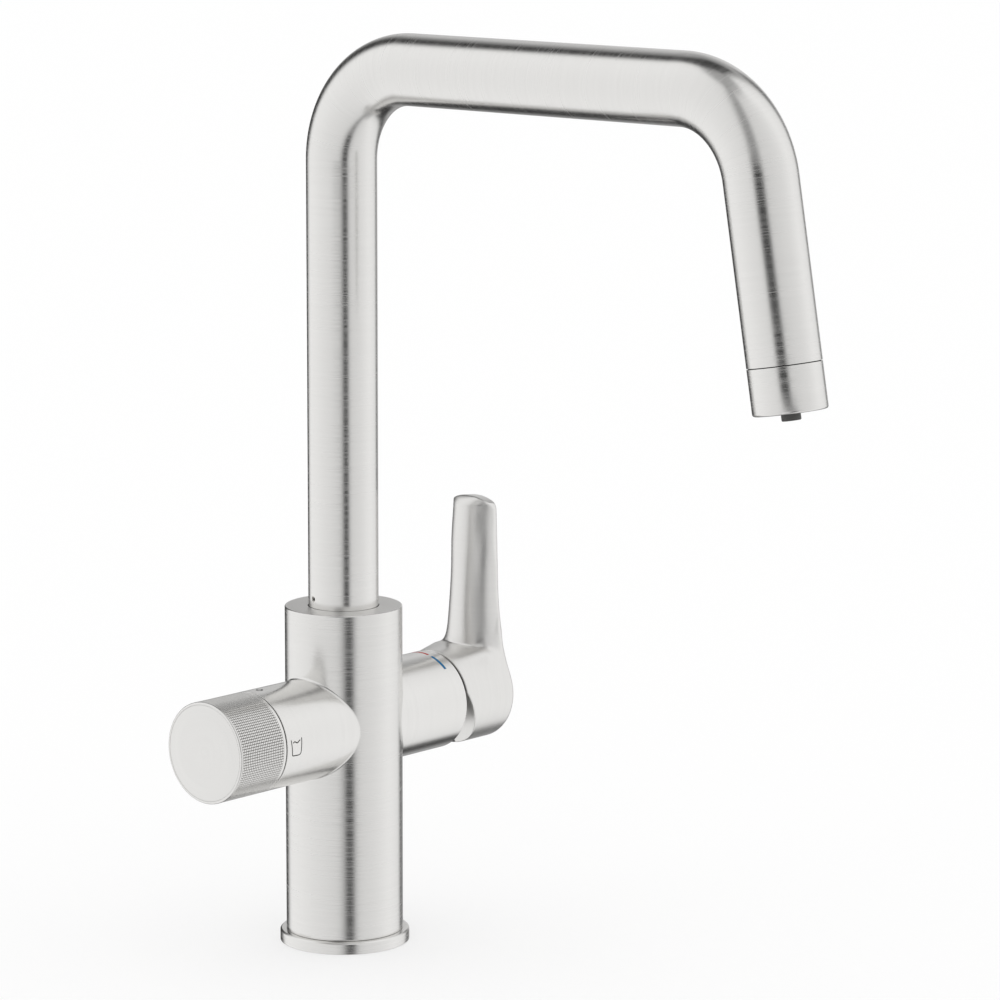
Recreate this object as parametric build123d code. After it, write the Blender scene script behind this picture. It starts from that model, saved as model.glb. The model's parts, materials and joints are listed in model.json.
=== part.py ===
from build123d import *
from math import asin, atan2, cos, pi, radians, sin, sqrt, tan
import os

# Kitchen tap with a second, filtered water way, in millimetres.
# +Z is up. The origin is on the deck, on the axis of the round body.
# The spout reaches towards -Y, the filter knob's arm towards -X and the
# mixing lever's arm towards +X.

# Clearances
SEAT = 0.05            # radial, a round piece seated in its own body
RUN = 0.05             # radial, a shaft or spigot that turns in its hole
FREE = 0.3             # round faces that move past each other without a fit
FACE = 0.05            # flat faces of pieces stacked along one axis

# Body column, its arms and the ring that covers the hole in the deck
BODY_D = 47.0
BODY_TOP = 137.3
BODY_CHAMFER = 0.5
BASE_D = 52.1
BASE_H = 4.8
BASE_CHAMFER = 0.6
BASE_GAP = 0.4         # shadow line between ring and body
FOOT_WALL = 5.05       # ring's wall round the body's foot
GASKET_W = 2.2
GASKET_H = 1.6
ARM_D = 40.3
ARM_Z = 90.3
ARM_CHAMFER = 0.25
KNOB_ARM_END = 53.7
LEVER_ARM_END = 52.3

# Water and fixing holes in the foot
INLET_D = 10.0         # M10 x 1 hose tails
INLET_DEPTH = 12.0
MIXER_INLET_X = 11.5
MIXER_INLET_Y = 7.5
FILTER_INLET_X = 12.5
CHANNEL_D = 4.6
MIXED_RISE_X = 7.5     # mixed water rises here, beside the filtered water
STUD_D = 8.0
STUD_DEPTH = 16.0
STUD_Y = 13.5

# Spout: one bent tube that swivels in the top of the body
SPOUT_D = 28.0
SPOUT_WALL = 1.5
SPOUT_H = 352.5        # height of the level run's centreline
SPOUT_REACH = 202.3    # riser axis to the corner point above the outlet
SPOUT_BEND = 37.0
SPOUT_LEAN = 10.0      # outlet leans forward, degrees from vertical
OUTLET_RUN = 67.6      # straight tube after the second bend
SOCKET_DEPTH = 10.0
SPIGOT_D = 22.0
SPIGOT_LEN = 25.0      # spigot below the socket's floor
CHAMBER_H = 2.5        # room for the mixed water under the spigot
SPIGOT_TOP = 146.0
SPIGOT_BORE = 13.0
SPIDER_H = 4.0         # plate with holes across the spigot's foot
SPIDER_PORT_D = 2.6
SPIDER_PORTS = 4
SLIDE_RING_H = 1.2
ORING_CORD = 1.9
ORING_Z = (105.8, 123.0)
ORING_SLOT = 0.4       # an O-ring's groove is this much wider than its cord
SWIVEL_HALF = 75.0     # swivel each way, degrees
STOP_Z = 114.3
STOP_SCREW_D = 5.0
STOP_SCREW_SINK = 0.6
STOP_SCREW_AF = 2.5
STOP_TIP_D = 3.8
STOP_GROOVE_DEPTH = 2.2
GROOVE_CORNERS = 7     # of the sector that cuts the groove
CLAMP_Z = 141.0
CLAMP_SCREW_D = 3.0
CLAMP_AZIMUTH = 164.4
CLAMP_SCREW_SINK = 0.3
CLAMP_WALL = 1.5       # metal left between the screw's hole and the spigot's bore
HOSE_D = 6.0
HOSE_BORE = 4.0
HOSE_SEAT = 3.0        # hose in its hole below the chamber, and in the nozzle
HOSE_SEAL_CORD = 0.9

# Outlet pieces, measured along the outlet's axis from the end of the bend
SLEEVE_GAP = 0.15
SLEEVE_LEN = 17.8
SLEEVE_ROUND = 1.0
ADAPTER_SEAT = 11.0    # adapter inside the tube
ADAPTER_TAIL = 9.5     # its threaded tail inside the sleeve
THREAD_D = 24.0
OUTLET_BORE = 18.8
AERATOR_D = 23.4
AERATOR_H = 6.0
AERATOR_LIP = 1.0
AERATOR_LEDGE = 0.8
SLOT_D = 1.6
SLOT_RINGS = ((6.0, 8), (8.8, 12))      # radius and number of holes
NOZZLE_D = 7.3
NOZZLE_BORE = 4.0
NOZZLE_PROUD = 2.9
NOZZLE_ROUND = 0.4
NOZZLE_LEN = 17.0

# Filtered water valve and its knob, measured outwards along the knob's arm
BORE_FLOOR = 22.0
HEADPART_D = 20.9
HEADPART_SEAT = 40.0
HEX_AF = 24.0
HEX_H = 5.0
NECK_D = 17.0
KNOB_BORE_D = 33.0
SEAL_H = 2.25
SEAL_W = 1.6
DISC_D = 17.0
DISC_H = 3.0
DISC_PORT_D = 4.2
DISC_PORT_R = 4.6
SPINDLE_D = 8.0
SPINDLE_END = 66.0
SPINDLE_FLANGE = 2.5
SPINDLE_CORD = 1.1
GUIDE_H = 3.0
CLIP_H = 0.8
CLIP_BITE = 0.8        # depth of the clip's groove
CLIP_W = 2.5
CLIP_GAP = 0.2         # clip to the end of the neck
CLIP_OPENING = 4.0
KNOB_GAP = 0.5
KNOB_LEN = 25.0
KNOB_CHAMFER = 0.6
KNOB_CAVITY_D = 33.6
KNOB_CAVITY = 5.8
KNOB_POCKET_D = 14.0
KNOB_POCKET = 7.0
KNURL_LEN = 22.0
KNURL_EDGE = 0.9       # plain lip outside the knurled band
KNURL_DEPTH = 0.35
CAP_D = 38.0
CAP_H = 2.2
CAP_CHAMFER = 0.2
CAP_SPIGOT = 2.5
CAP_SPIGOT_W = 1.2
SCREW_D = 4.0
SCREW_HEAD_D = 7.0
SCREW_HEAD_H = 3.8
SCREW_HOLE = 9.0
SCREW_GRIP = 8.0       # thread inside the spindle
SCREW_AF = 3.0
SOCKET_DEEP = 2.0      # hexagon sockets

# Mixing cartridge, measured outwards along the lever's arm
CARTRIDGE_D = 30.0
CARTRIDGE_FRONT = 46.0
CARTRIDGE_BASE = 30.45
CARTRIDGE_CAVITY_D = 26.0
CARTRIDGE_NECK = 4.0
NUT_D = 34.0
NUT_BORE = 19.6
NUT_H = 4.7
NUT_SEAT = 44.0
KEY_W = 3.0
KEY_DEPTH = 2.0
MIXER_SEAL_D = 28.0
MIXER_SEAL_H = 1.5
PORT_D = 4.8
PORTS = ((-6.0, -3.5), (6.0, -3.5), (0.0, 6.0))    # cold, hot, mixed
FIXED_DISC_H = 2.45
MOVING_DISC_D = 17.2
MOVING_DISC_H = 3.9
SOCKET_D = 4.4
SOCKET_FLOOR = 1.0
CARRIER_D = 18.8
CARRIER_END = 50.4
CARRIER_FLANGE_D = 25.2
CARRIER_SLOT = 8.2
CARRIER_SLOT_H = 15.0
PIVOT_X = 46.5
PIVOT_D = 3.0
PIVOT_LEN = 17.6
STEM = 8.0             # square spindle that carries the lever
STEM_START = 40.0
STEM_END = 75.0
TIP_X = 36.2
TIP_D = 3.8
TIP_NECK_D = 3.2

# Lever: a round hub whose outer end sweeps up into a paddle
LEVER_START = 52.9
LEVER_FACE = 81.8      # flat outer face
LEVER_EDGE = 2.0
TIP_CORNER = 5.0       # roundings of the paddle's tip, seen from outside
LEVER_TOP = 172.1
LEVER_SHOULDER = 169.0
TIP_SLOPE = 6.0        # the tip falls away towards the outer face, degrees
SLOPE_X = 74.0         # from here
PADDLE_HALF_TOP = 10.7
PADDLE_TAPER = 1.7     # degrees, sides lean in towards the tip
NECK_R = 120.0         # hollow sides between hub and paddle
PADDLE_LEVELS = (      # height, middle of the inner face, its crease with the sides
    (108.0, 69.0, 72.4),
    (113.0, 69.2, 75.7),
    (119.0, 69.4, 78.2),
    (127.0, 69.85, 79.5),
    (140.0, 70.6, 80.0),
    (158.0, 71.3, 80.1),
    (176.0, 72.0, 80.0),
)
TIP_ROLL = 7.5         # inner face of the paddle's tip, rolled over towards its top
ROLL_X = 79.03         # the roll's centre
ROLL_Z = 165.4
ROLL_TURNS = (0.0, 15.0, 30.0, 45.0, 60.0)    # levels on the roll, degrees
ROLL_CREASE = 80.0     # crease with the sides, on the roll
SHOULDER_R = 5.5       # rounded shoulders under the paddle
SHOULDER_ARC = ((0.3, 0.35), (1.1, 0.1))    # its middle and end, in and down, in radii
SHOULDER_BLEND = 3.0
ROUND_SPLITS = (47.0, 37.0, 27.0)           # degrees from the hub's top, to match them
CREASE_PAST = 5.0      # degrees that the inner face runs past its crease
FOOT_HALF = 12.6       # half the inner face's width at its foot, inside the neck
FOOT_FLARE = 5.0       # from there the sides open towards the outer face
HUB_CIRCLE_X = 54.0    # round up to here
HUB_SHOULDER_X = 70.0  # full neck outline from here
FACET_Z = 95.5
FACET_LEAN = 23.5
LEVER_BORE = 29.0
LEVER_BORE_END = 72.0
BOSS_D = 15.0
BOSS_START = 57.0
SOCKET_SLACK = 0.1
GRUB_X = 66.0
GRUB_D = 5.0
GRUB_LEN = 6.0
GRUB_AF = 2.5
PLUG_D = 7.0
PLUG_H = 5.0
PLUG_SINK = 0.3

# Places that follow from the sizes above
BODY_FOOT = BASE_H + BASE_GAP
FOOT_D = BASE_D - 2 * FOOT_WALL
SOCKET_FLOOR_Z = BODY_TOP - SOCKET_DEPTH
SPIGOT_END_Z = SOCKET_FLOOR_Z - SPIGOT_LEN
CHAMBER_Z = SPIGOT_END_Z - CHAMBER_H
HOSE_START_Z = CHAMBER_Z - HOSE_SEAT
HOSE_SEAL_Z = CHAMBER_Z - HOSE_SEAT / 2
TUBE_END_Z = SOCKET_FLOOR_Z + SLIDE_RING_H + FACE
TUBE_BORE_R = SPOUT_D / 2 - SPOUT_WALL
FIXED_DISC = BORE_FLOOR + 2 * FACE + SEAL_H
MOVING_DISC = FIXED_DISC + DISC_H + FACE
FLANGE = MOVING_DISC + DISC_H + FACE
KNOB_START = KNOB_ARM_END + KNOB_GAP
KNOB_FACE = KNOB_START + KNOB_LEN
NECK_END = KNOB_ARM_END - 0.1
HUB_R = ARM_D / 2
REACH = 3 * HUB_R      # the lever's cutters are larger than what they cut
NEAR = SEAT / 10       # edges are found by their place to within this


def tube(outer_r, inner_r, low, high):
    """A ring or rod along Z between two heights."""
    height = high - low
    base = (Align.CENTER, Align.CENTER, Align.MIN)
    solid = Cylinder(outer_r, height, align=base)
    if inner_r > 0:
        solid -= Cylinder(inner_r, height, align=base)
    return Pos(0, 0, low) * solid


def outer_edge(solid, height):
    """The longest edge of a turned solid at this height along Z."""
    edges = [e for e in solid.edges() if abs(e.center().Z - height) < NEAR]
    return max(edges, key=lambda e: e.length)


def chamfered(solid, size, height):
    """The solid with its outer edge at this height along Z bevelled."""
    return chamfer(outer_edge(solid, height), size)


def rounded(solid, size, height):
    """The solid with its outer edge at this height along Z rounded."""
    return fillet(outer_edge(solid, height), size)


def hexagon(across_flats, height):
    """A hexagonal prism along Z."""
    return extrude(RegularPolygon(across_flats / 2, 6, major_radius=False), height)


def on_knob_arm(solid):
    """Z of a turned piece laid outwards along the knob's arm."""
    return Pos(0, 0, ARM_Z) * Rot(0, -90, 0) * solid


def on_lever_arm(solid):
    """Z of a turned piece laid outwards along the lever's arm."""
    return Pos(0, 0, ARM_Z) * Rot(0, 90, 0) * solid


def along_y(radius, start, end, x, z):
    """A rod along Y between two depths."""
    low, high = sorted((start, end))
    return Pos(x, low, z) * Rot(-90, 0, 0) * tube(radius, 0, 0, high - low)


def ring_groove(outer_r, floor_r, middle, width):
    """The cutter for a groove round a shaft."""
    return tube(outer_r + 1, floor_r, middle - width / 2, middle + width / 2)


def oring(outer_r, cord, middle):
    """An O-ring along Z by its outer radius."""
    return Pos(0, 0, middle) * Torus(outer_r - cord / 2, cord / 2)


# Spout centreline

OUTLET_TURN = 90.0 - SPOUT_LEAN
LEAN = radians(SPOUT_LEAN)
OUTLET_DIR = Vector(0, -sin(LEAN), -cos(LEAN))
BEND_SETBACK = SPOUT_BEND * tan(radians(OUTLET_TURN) / 2)
OUTLET_CORNER = Vector(0, -SPOUT_REACH, SPOUT_H)
BEND_END = OUTLET_CORNER + OUTLET_DIR * BEND_SETBACK
OUTLET = Plane(origin=BEND_END, x_dir=(1, 0, 0), z_dir=OUTLET_DIR)
SLEEVE_START = OUTLET_RUN + SLEEVE_GAP
SLEEVE_END = OUTLET_RUN + SLEEVE_LEN
NOZZLE_END = SLEEVE_END + NOZZLE_PROUD
NOZZLE_START = NOZZLE_END - NOZZLE_LEN


def at_outlet(solid):
    """Z of a turned piece laid along the outlet's axis."""
    return OUTLET.location * solid


def centreline(start_z, outlet_end):
    """The spout's path from a height on the riser to a place in the outlet."""
    corners = [
        (0, 0, start_z),
        (0, 0, SPOUT_H),
        OUTLET_CORNER,
        BEND_END + OUTLET_DIR * outlet_end,
    ]
    return FilletPolyline(*corners, radius=SPOUT_BEND)


def bent_tube(outer_r, inner_r, start_z, outlet_end):
    """A tube that follows the spout's centreline."""
    path = centreline(start_z, outlet_end)
    start = Plane(origin=(0, 0, start_z), x_dir=(1, 0, 0), z_dir=(0, 0, 1))
    outer = sweep(start * Circle(outer_r), path=path)
    inner = sweep(start * Circle(inner_r), path=path)
    print("tube", outer_r, "volume over section times length", round(
        outer.volume / (pi * outer_r ** 2 * path.length), 4))
    return outer - inner


# Base and body


def base_ring():
    """Turned ring over the deck hole, with a groove for its gasket."""
    ring = tube(BASE_D / 2, FOOT_D / 2 + SEAT, 0, BASE_H)
    ring = chamfered(ring, BASE_CHAMFER, BASE_H)
    inner = gasket_inner_r()
    return ring - tube(inner + GASKET_W + SEAT, inner - SEAT, 0, GASKET_H + FACE)


def gasket_inner_r():
    """The gasket lies in the middle of the ring's wall."""
    return (BASE_D / 2 + FOOT_D / 2 - GASKET_W) / 2


def base_gasket():
    """Flat rubber ring between the base and the deck."""
    inner = gasket_inner_r()
    return tube(inner + GASKET_W, inner, 0, GASKET_H)


def body_casting():
    """Column with two arms, bored for the spout, the valve and the cartridge."""
    column = chamfered(tube(BODY_D / 2, 0, BODY_FOOT, BODY_TOP), BODY_CHAMFER, BODY_TOP)
    knob_arm = chamfered(tube(HUB_R, 0, 0, KNOB_ARM_END), ARM_CHAMFER, KNOB_ARM_END)
    lever_arm = chamfered(tube(HUB_R, 0, 0, LEVER_ARM_END), ARM_CHAMFER, LEVER_ARM_END)
    body = column + on_knob_arm(knob_arm) + on_lever_arm(lever_arm)
    body += tube(FOOT_D / 2, 0, 0, BODY_FOOT)
    body -= tube(SPOUT_D / 2 + FREE, 0, SOCKET_FLOOR_Z, BODY_TOP)
    body -= tube(SPIGOT_D / 2 + RUN, 0, CHAMBER_Z, SOCKET_FLOOR_Z)
    body -= along_y(STOP_SCREW_D / 2, 0, BODY_D / 2, 0, STOP_Z)
    body -= on_knob_arm(tube(HEADPART_D / 2 + SEAT, 0, BORE_FLOOR, HEADPART_SEAT))
    body -= on_knob_arm(tube(KNOB_BORE_D / 2, 0, HEADPART_SEAT, KNOB_ARM_END))
    body -= on_lever_arm(tube(CARTRIDGE_D / 2 + SEAT, 0, BORE_FLOOR, NUT_SEAT))
    body -= on_lever_arm(tube(NUT_D / 2 + SEAT, 0, NUT_SEAT, LEVER_ARM_END))
    return body - water_ways()


def channel(x, y, low, high):
    """An upright drilling."""
    return Pos(x, y, 0) * tube(CHANNEL_D / 2, 0, low, high)


def cross_channel(y, z, start, end):
    """A drilling along X between two places."""
    low, high = sorted((start, end))
    return Pos(0, y, z) * Rot(0, 90, 0) * tube(CHANNEL_D / 2, 0, low, high)


def water_ways():
    """Threaded holes in the foot and the drilled channels above them."""
    cold, hot, mixed = PORTS
    ways = Pos(0, STUD_Y, 0) * tube(STUD_D / 2, 0, 0, STUD_DEPTH)
    for inlet_y, (port_y, port_up) in ((-MIXER_INLET_Y, cold), (MIXER_INLET_Y, hot)):
        ways += Pos(MIXER_INLET_X, inlet_y, 0) * tube(INLET_D / 2, 0, 0, INLET_DEPTH)
        ways += channel(MIXER_INLET_X, port_y, 0, ARM_Z + port_up)
        ways += cross_channel(port_y, ARM_Z + port_up, MIXER_INLET_X, BORE_FLOOR)
    mixed_z = ARM_Z + mixed[1]
    ways += cross_channel(mixed[0], mixed_z, MIXED_RISE_X, BORE_FLOOR)
    ways += channel(MIXED_RISE_X, mixed[0], mixed_z, SPIGOT_END_Z)
    ways += Pos(-FILTER_INLET_X, 0, 0) * tube(INLET_D / 2, 0, 0, INLET_DEPTH)
    ways += channel(-FILTER_INLET_X, 0, 0, ARM_Z - DISC_PORT_R)
    ways += cross_channel(0, ARM_Z - DISC_PORT_R, -FILTER_INLET_X, -BORE_FLOOR)
    filtered_z = ARM_Z + DISC_PORT_R
    ways += cross_channel(0, filtered_z, 0, -BORE_FLOOR)
    ways += tube(HOSE_D / 2 + RUN, 0, filtered_z, CHAMBER_Z)
    seal_r = HOSE_D / 2 + 2 * RUN + HOSE_SEAL_CORD
    half = HOSE_SEAL_CORD / 2 + ORING_SLOT / 2
    return ways + tube(seal_r, 0, HOSE_SEAL_Z - half, HOSE_SEAL_Z + half)


# Spout and what swivels with it


def spout_slide_ring():
    """Plastic washer that the spout turns on."""
    return tube(SPOUT_D / 2 + FREE - SEAT, SPIGOT_D / 2 + FREE, SOCKET_FLOOR_Z,
                SOCKET_FLOOR_Z + SLIDE_RING_H)


def clamp_screw_rod(radius, start, end):
    """A rod across the spout's wall at the clamp screw."""
    rod = Rot(0, 90, 0) * tube(radius, 0, start, end)
    return Pos(0, 0, CLAMP_Z) * Rot(0, 0, CLAMP_AZIMUTH) * rod


def spout_tube():
    """Bent tube from the body to the outlet, as one piece."""
    pipe = bent_tube(SPOUT_D / 2, TUBE_BORE_R, TUBE_END_Z, OUTLET_RUN)
    return pipe - clamp_screw_rod(CLAMP_SCREW_D / 2, TUBE_BORE_R - 1, SPOUT_D / 2 + 1)


def swivel_insert():
    """Brass spigot in the foot of the spout, grooved for two O-rings and the stop."""
    spigot_r = SPIGOT_D / 2
    insert = tube(spigot_r, 0, SPIGOT_END_Z, TUBE_END_Z)
    insert += tube(TUBE_BORE_R - SEAT, 0, TUBE_END_Z, SPIGOT_TOP)
    insert -= tube(SPIGOT_BORE / 2, 0, SPIGOT_END_Z + SPIDER_H, SPIGOT_TOP)
    insert -= tube(HOSE_D / 2 + SEAT, 0, SPIGOT_END_Z, SPIGOT_END_Z + SPIDER_H)
    port_r = (SPIGOT_BORE / 2 + HOSE_D / 2) / 2
    port = Pos(port_r, 0, 0) * tube(SPIDER_PORT_D / 2, 0, SPIGOT_END_Z, SPIGOT_END_Z + SPIDER_H)
    for step in range(SPIDER_PORTS):
        insert -= Rot(0, 0, 360 * (step + 0.5) / SPIDER_PORTS) * port
    for height in ORING_Z:
        insert -= ring_groove(spigot_r, spigot_r - ORING_CORD - SEAT, height, ORING_CORD + ORING_SLOT)
    insert -= stop_groove()
    return insert - clamp_screw_rod(CLAMP_SCREW_D / 2, SPIGOT_BORE / 2 + CLAMP_WALL, TUBE_BORE_R)


def stop_groove():
    """Part-round groove whose ends limit the swivel."""
    floor_r = SPIGOT_D / 2 - STOP_GROOVE_DEPTH
    tip_half = asin((STOP_TIP_D / 2 + FREE) / floor_r) * 180 / pi
    half = SWIVEL_HALF + tip_half
    width = STOP_TIP_D + 2 * FREE
    groove = ring_groove(SPIGOT_D / 2, floor_r, STOP_Z, width)
    corners = [(0, 0)]
    for step in range(GROOVE_CORNERS):
        angle = radians(90 - half + 2 * half * step / (GROOVE_CORNERS - 1))
        corners.append((SPIGOT_D * cos(angle), SPIGOT_D * sin(angle)))
    sector = extrude(make_face(Polyline(*corners, close=True)), 2 * width)
    return groove & (Pos(0, 0, STOP_Z - width) * sector)


def swivel_orings():
    """The two O-rings that seal the spigot."""
    return [oring(SPIGOT_D / 2, ORING_CORD, height) for height in ORING_Z]


def spout_stop_screw():
    """Grub screw in the back of the body, its tip in the stop groove."""
    thread_end = SPIGOT_D / 2 + RUN + 1
    head = BODY_D / 2 - STOP_SCREW_SINK
    screw = along_y(STOP_SCREW_D / 2 - SEAT, thread_end, head, 0, STOP_Z)
    screw += along_y(STOP_TIP_D / 2, SPIGOT_D / 2 - STOP_GROOVE_DEPTH + FREE, thread_end, 0, STOP_Z)
    return screw - Pos(0, head, STOP_Z) * Rot(90, 0, 0) * hexagon(STOP_SCREW_AF, SOCKET_DEEP)


def spout_clamp_screw():
    """Small grub screw that fastens the tube to its spigot."""
    start = SPIGOT_BORE / 2 + CLAMP_WALL + FACE
    end = SPOUT_D / 2 - CLAMP_SCREW_SINK
    screw = clamp_screw_rod(CLAMP_SCREW_D / 2 - SEAT, start, end)
    return screw - clamp_screw_rod(CLAMP_SCREW_D / 4, end - SOCKET_DEEP, end)


def filter_hose():
    """Inner hose that keeps the filtered water apart up to the nozzle."""
    return bent_tube(HOSE_D / 2, HOSE_BORE / 2, HOSE_START_Z, NOZZLE_START + HOSE_SEAT)


def hose_oring():
    """O-ring in the body round the foot of the inner hose."""
    return oring(HOSE_D / 2 + RUN + HOSE_SEAL_CORD, HOSE_SEAL_CORD, HOSE_SEAL_Z)


def outlet_adapter():
    """Ring soldered in the tube's end, with a thread for the sleeve."""
    seat = tube(TUBE_BORE_R - SEAT, 0, OUTLET_RUN - ADAPTER_SEAT, OUTLET_RUN)
    tail = tube(THREAD_D / 2, 0, OUTLET_RUN, OUTLET_RUN + ADAPTER_TAIL)
    bore = tube(OUTLET_BORE / 2, 0, OUTLET_RUN - ADAPTER_SEAT, OUTLET_RUN + ADAPTER_TAIL)
    return at_outlet(seat + tail - bore)


def aerator_sleeve():
    """Screwed sleeve that holds the aerator, as wide as the spout."""
    sleeve = tube(SPOUT_D / 2, 0, SLEEVE_START, SLEEVE_END)
    sleeve = rounded(sleeve, SLEEVE_ROUND, SLEEVE_END)
    sleeve -= tube(THREAD_D / 2 + SEAT, 0, SLEEVE_START, OUTLET_RUN + ADAPTER_TAIL)
    lip = SLEEVE_END - AERATOR_LIP
    sleeve -= tube(AERATOR_D / 2 + SEAT, 0, OUTLET_RUN + ADAPTER_TAIL, lip)
    return at_outlet(sleeve - tube(AERATOR_D / 2 - AERATOR_LEDGE, 0, lip, SLEEVE_END))


def aerator_gasket():
    """Rubber ring above the aerator."""
    top = OUTLET_RUN + ADAPTER_TAIL + FACE
    bottom = SLEEVE_END - AERATOR_LIP - AERATOR_H - FACE
    return at_outlet(tube(AERATOR_D / 2 - SEAT, OUTLET_BORE / 2, top, bottom))


def aerator_insert():
    """Round stream former with rings of slots about the nozzle."""
    end = SLEEVE_END - AERATOR_LIP
    insert = tube(AERATOR_D / 2, NOZZLE_D / 2 + SEAT, end - AERATOR_H, end)
    for radius, count in SLOT_RINGS:
        slot = Pos(radius, 0, 0) * tube(SLOT_D / 2, 0, end - AERATOR_H, end)
        for step in range(count):
            insert -= Rot(0, 0, 360 * step / count) * slot
    return at_outlet(insert)


def filter_nozzle():
    """Dark plastic nozzle that lets the filtered water out at the middle."""
    nozzle = tube(NOZZLE_D / 2, NOZZLE_BORE / 2, NOZZLE_START, NOZZLE_END)
    nozzle = rounded(nozzle, NOZZLE_ROUND, NOZZLE_END)
    nozzle -= tube(HOSE_D / 2 + SEAT, 0, NOZZLE_START, NOZZLE_START + HOSE_SEAT + FACE)
    return at_outlet(nozzle)


# Filtered water valve


def filter_seal():
    """Rubber ring under the valve's fixed disc."""
    low, high = BORE_FLOOR + FACE, FIXED_DISC - FACE
    return on_knob_arm(tube(DISC_D / 2, DISC_D / 2 - SEAL_W, low, high))


def valve_disc(radius, low, turn):
    """Ceramic disc with two opposite ports."""
    disc = tube(radius, 0, low, low + DISC_H)
    for side in (0, 180):
        port = Pos(DISC_PORT_R, 0, 0) * tube(DISC_PORT_D / 2, 0, low, low + DISC_H)
        disc -= Rot(0, 0, turn + side) * port
    return on_knob_arm(disc)


def filter_headpart():
    """Brass valve body with a hexagon, screwed into the knob's arm."""
    cavity_end = FLANGE + SPINDLE_FLANGE + 2 * FACE
    part = tube(HEADPART_D / 2, 0, FIXED_DISC, HEADPART_SEAT + FACE)
    part += Pos(0, 0, HEADPART_SEAT + FACE) * hexagon(HEX_AF, HEX_H)
    part += tube(NECK_D / 2, 0, HEADPART_SEAT, NECK_END)
    part -= tube(DISC_D / 2 + SEAT, 0, FIXED_DISC, cavity_end)
    part -= tube(SPINDLE_D / 2 + RUN, 0, cavity_end, NECK_END)
    return on_knob_arm(part)


def filter_spindle():
    """Spindle that turns the moving disc, grooved for its O-ring and clip."""
    radius = SPINDLE_D / 2
    spindle = tube(DISC_D / 2 - FREE, 0, FLANGE, FLANGE + SPINDLE_FLANGE)
    spindle += tube(radius, 0, FLANGE, SPINDLE_END)
    groove_floor = radius - SPINDLE_CORD - SEAT
    spindle -= ring_groove(radius, groove_floor, HEADPART_SEAT, SPINDLE_CORD + ORING_SLOT)
    spindle -= ring_groove(radius, radius - CLIP_BITE, clip_middle(), CLIP_H + 2 * FACE)
    spindle -= tube(SCREW_D / 2 + SEAT, 0, SPINDLE_END - SCREW_HOLE, SPINDLE_END)
    return on_knob_arm(spindle)


def clip_middle():
    """The clip lies just outside the headpart's neck."""
    return NECK_END + CLIP_GAP + CLIP_H / 2


def spindle_oring():
    """O-ring on the valve's spindle."""
    return on_knob_arm(oring(SPINDLE_D / 2, SPINDLE_CORD, HEADPART_SEAT))


def spindle_clip():
    """Open spring ring that keeps the spindle in the headpart."""
    half = CLIP_H / 2
    inner_r = SPINDLE_D / 2 - CLIP_BITE + SEAT
    clip = tube(inner_r + CLIP_W, inner_r, clip_middle() - half, clip_middle() + half)
    gap = Box(SPINDLE_D, CLIP_OPENING, CLIP_OPENING, align=(Align.MIN, Align.CENTER, Align.CENTER))
    return on_knob_arm(clip - Pos(0, 0, clip_middle()) * gap)


def knob_guide_ring():
    """Plastic ring that closes the arm behind the knob."""
    ring = tube(KNOB_BORE_D / 2 - SEAT, NECK_D / 2 + SEAT, KNOB_ARM_END - GUIDE_H, KNOB_ARM_END)
    return on_knob_arm(ring)


def filter_knob():
    """Round knob with a knurled band, a boss for the spindle and a cap seat."""
    cap_seat = KNOB_FACE - CAP_H
    knob = tube(HUB_R, 0, KNOB_START, KNOB_FACE)
    knob = chamfered(knob, KNOB_CHAMFER, KNOB_FACE)
    knob = chamfered(knob, ARM_CHAMFER, KNOB_START)
    band_end = KNOB_FACE - KNURL_EDGE
    knob -= tube(HUB_R + 1, HUB_R - KNURL_DEPTH, band_end - KNURL_LEN, band_end)
    knob -= tube(KNOB_CAVITY_D / 2, 0, KNOB_START, KNOB_START + KNOB_CAVITY)
    knob -= tube(SPINDLE_D / 2 + SEAT, 0, KNOB_START, SPINDLE_END + FREE)
    knob -= tube(SCREW_D / 2 + FREE, 0, KNOB_START, cap_seat)
    knob -= tube(KNOB_POCKET_D / 2, 0, cap_seat - KNOB_POCKET, cap_seat)
    knob -= tube(CAP_D / 2 + SEAT, 0, cap_seat, KNOB_FACE)
    return on_knob_arm(knob)


def knob_cap():
    """Smooth disc pressed into the front of the knob."""
    cap_seat = KNOB_FACE - CAP_H
    cap = tube(CAP_D / 2, 0, cap_seat + FACE, KNOB_FACE)
    cap = chamfered(cap, CAP_CHAMFER, KNOB_FACE)
    spigot = KNOB_POCKET_D / 2 - SEAT
    cap += tube(spigot, spigot - CAP_SPIGOT_W, cap_seat - CAP_SPIGOT, cap_seat + FACE)
    return on_knob_arm(cap)


def knob_screw():
    """Screw that holds the knob on its spindle."""
    seat = KNOB_FACE - CAP_H - KNOB_POCKET
    screw = tube(SCREW_HEAD_D / 2, 0, seat + FACE, seat + FACE + SCREW_HEAD_H)
    screw += tube(SCREW_D / 2, 0, SPINDLE_END - SCREW_GRIP, seat + FACE)
    top = seat + FACE + SCREW_HEAD_H
    return on_knob_arm(screw - Pos(0, 0, top - SOCKET_DEEP) * hexagon(SCREW_AF, SOCKET_DEEP))


# Mixing cartridge


def with_ports(solid, low, high):
    """The solid with the cartridge's three ports cut through it."""
    for across, up in PORTS:
        solid -= Pos(-up, across, 0) * tube(PORT_D / 2, 0, low, high)
    return solid


def cartridge_seal():
    """Rubber pad round the ports, under the cartridge."""
    low, high = BORE_FLOOR + FACE, BORE_FLOOR + FACE + MIXER_SEAL_H
    return on_lever_arm(with_ports(tube(MIXER_SEAL_D / 2, 0, low, high), low, high))


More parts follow.
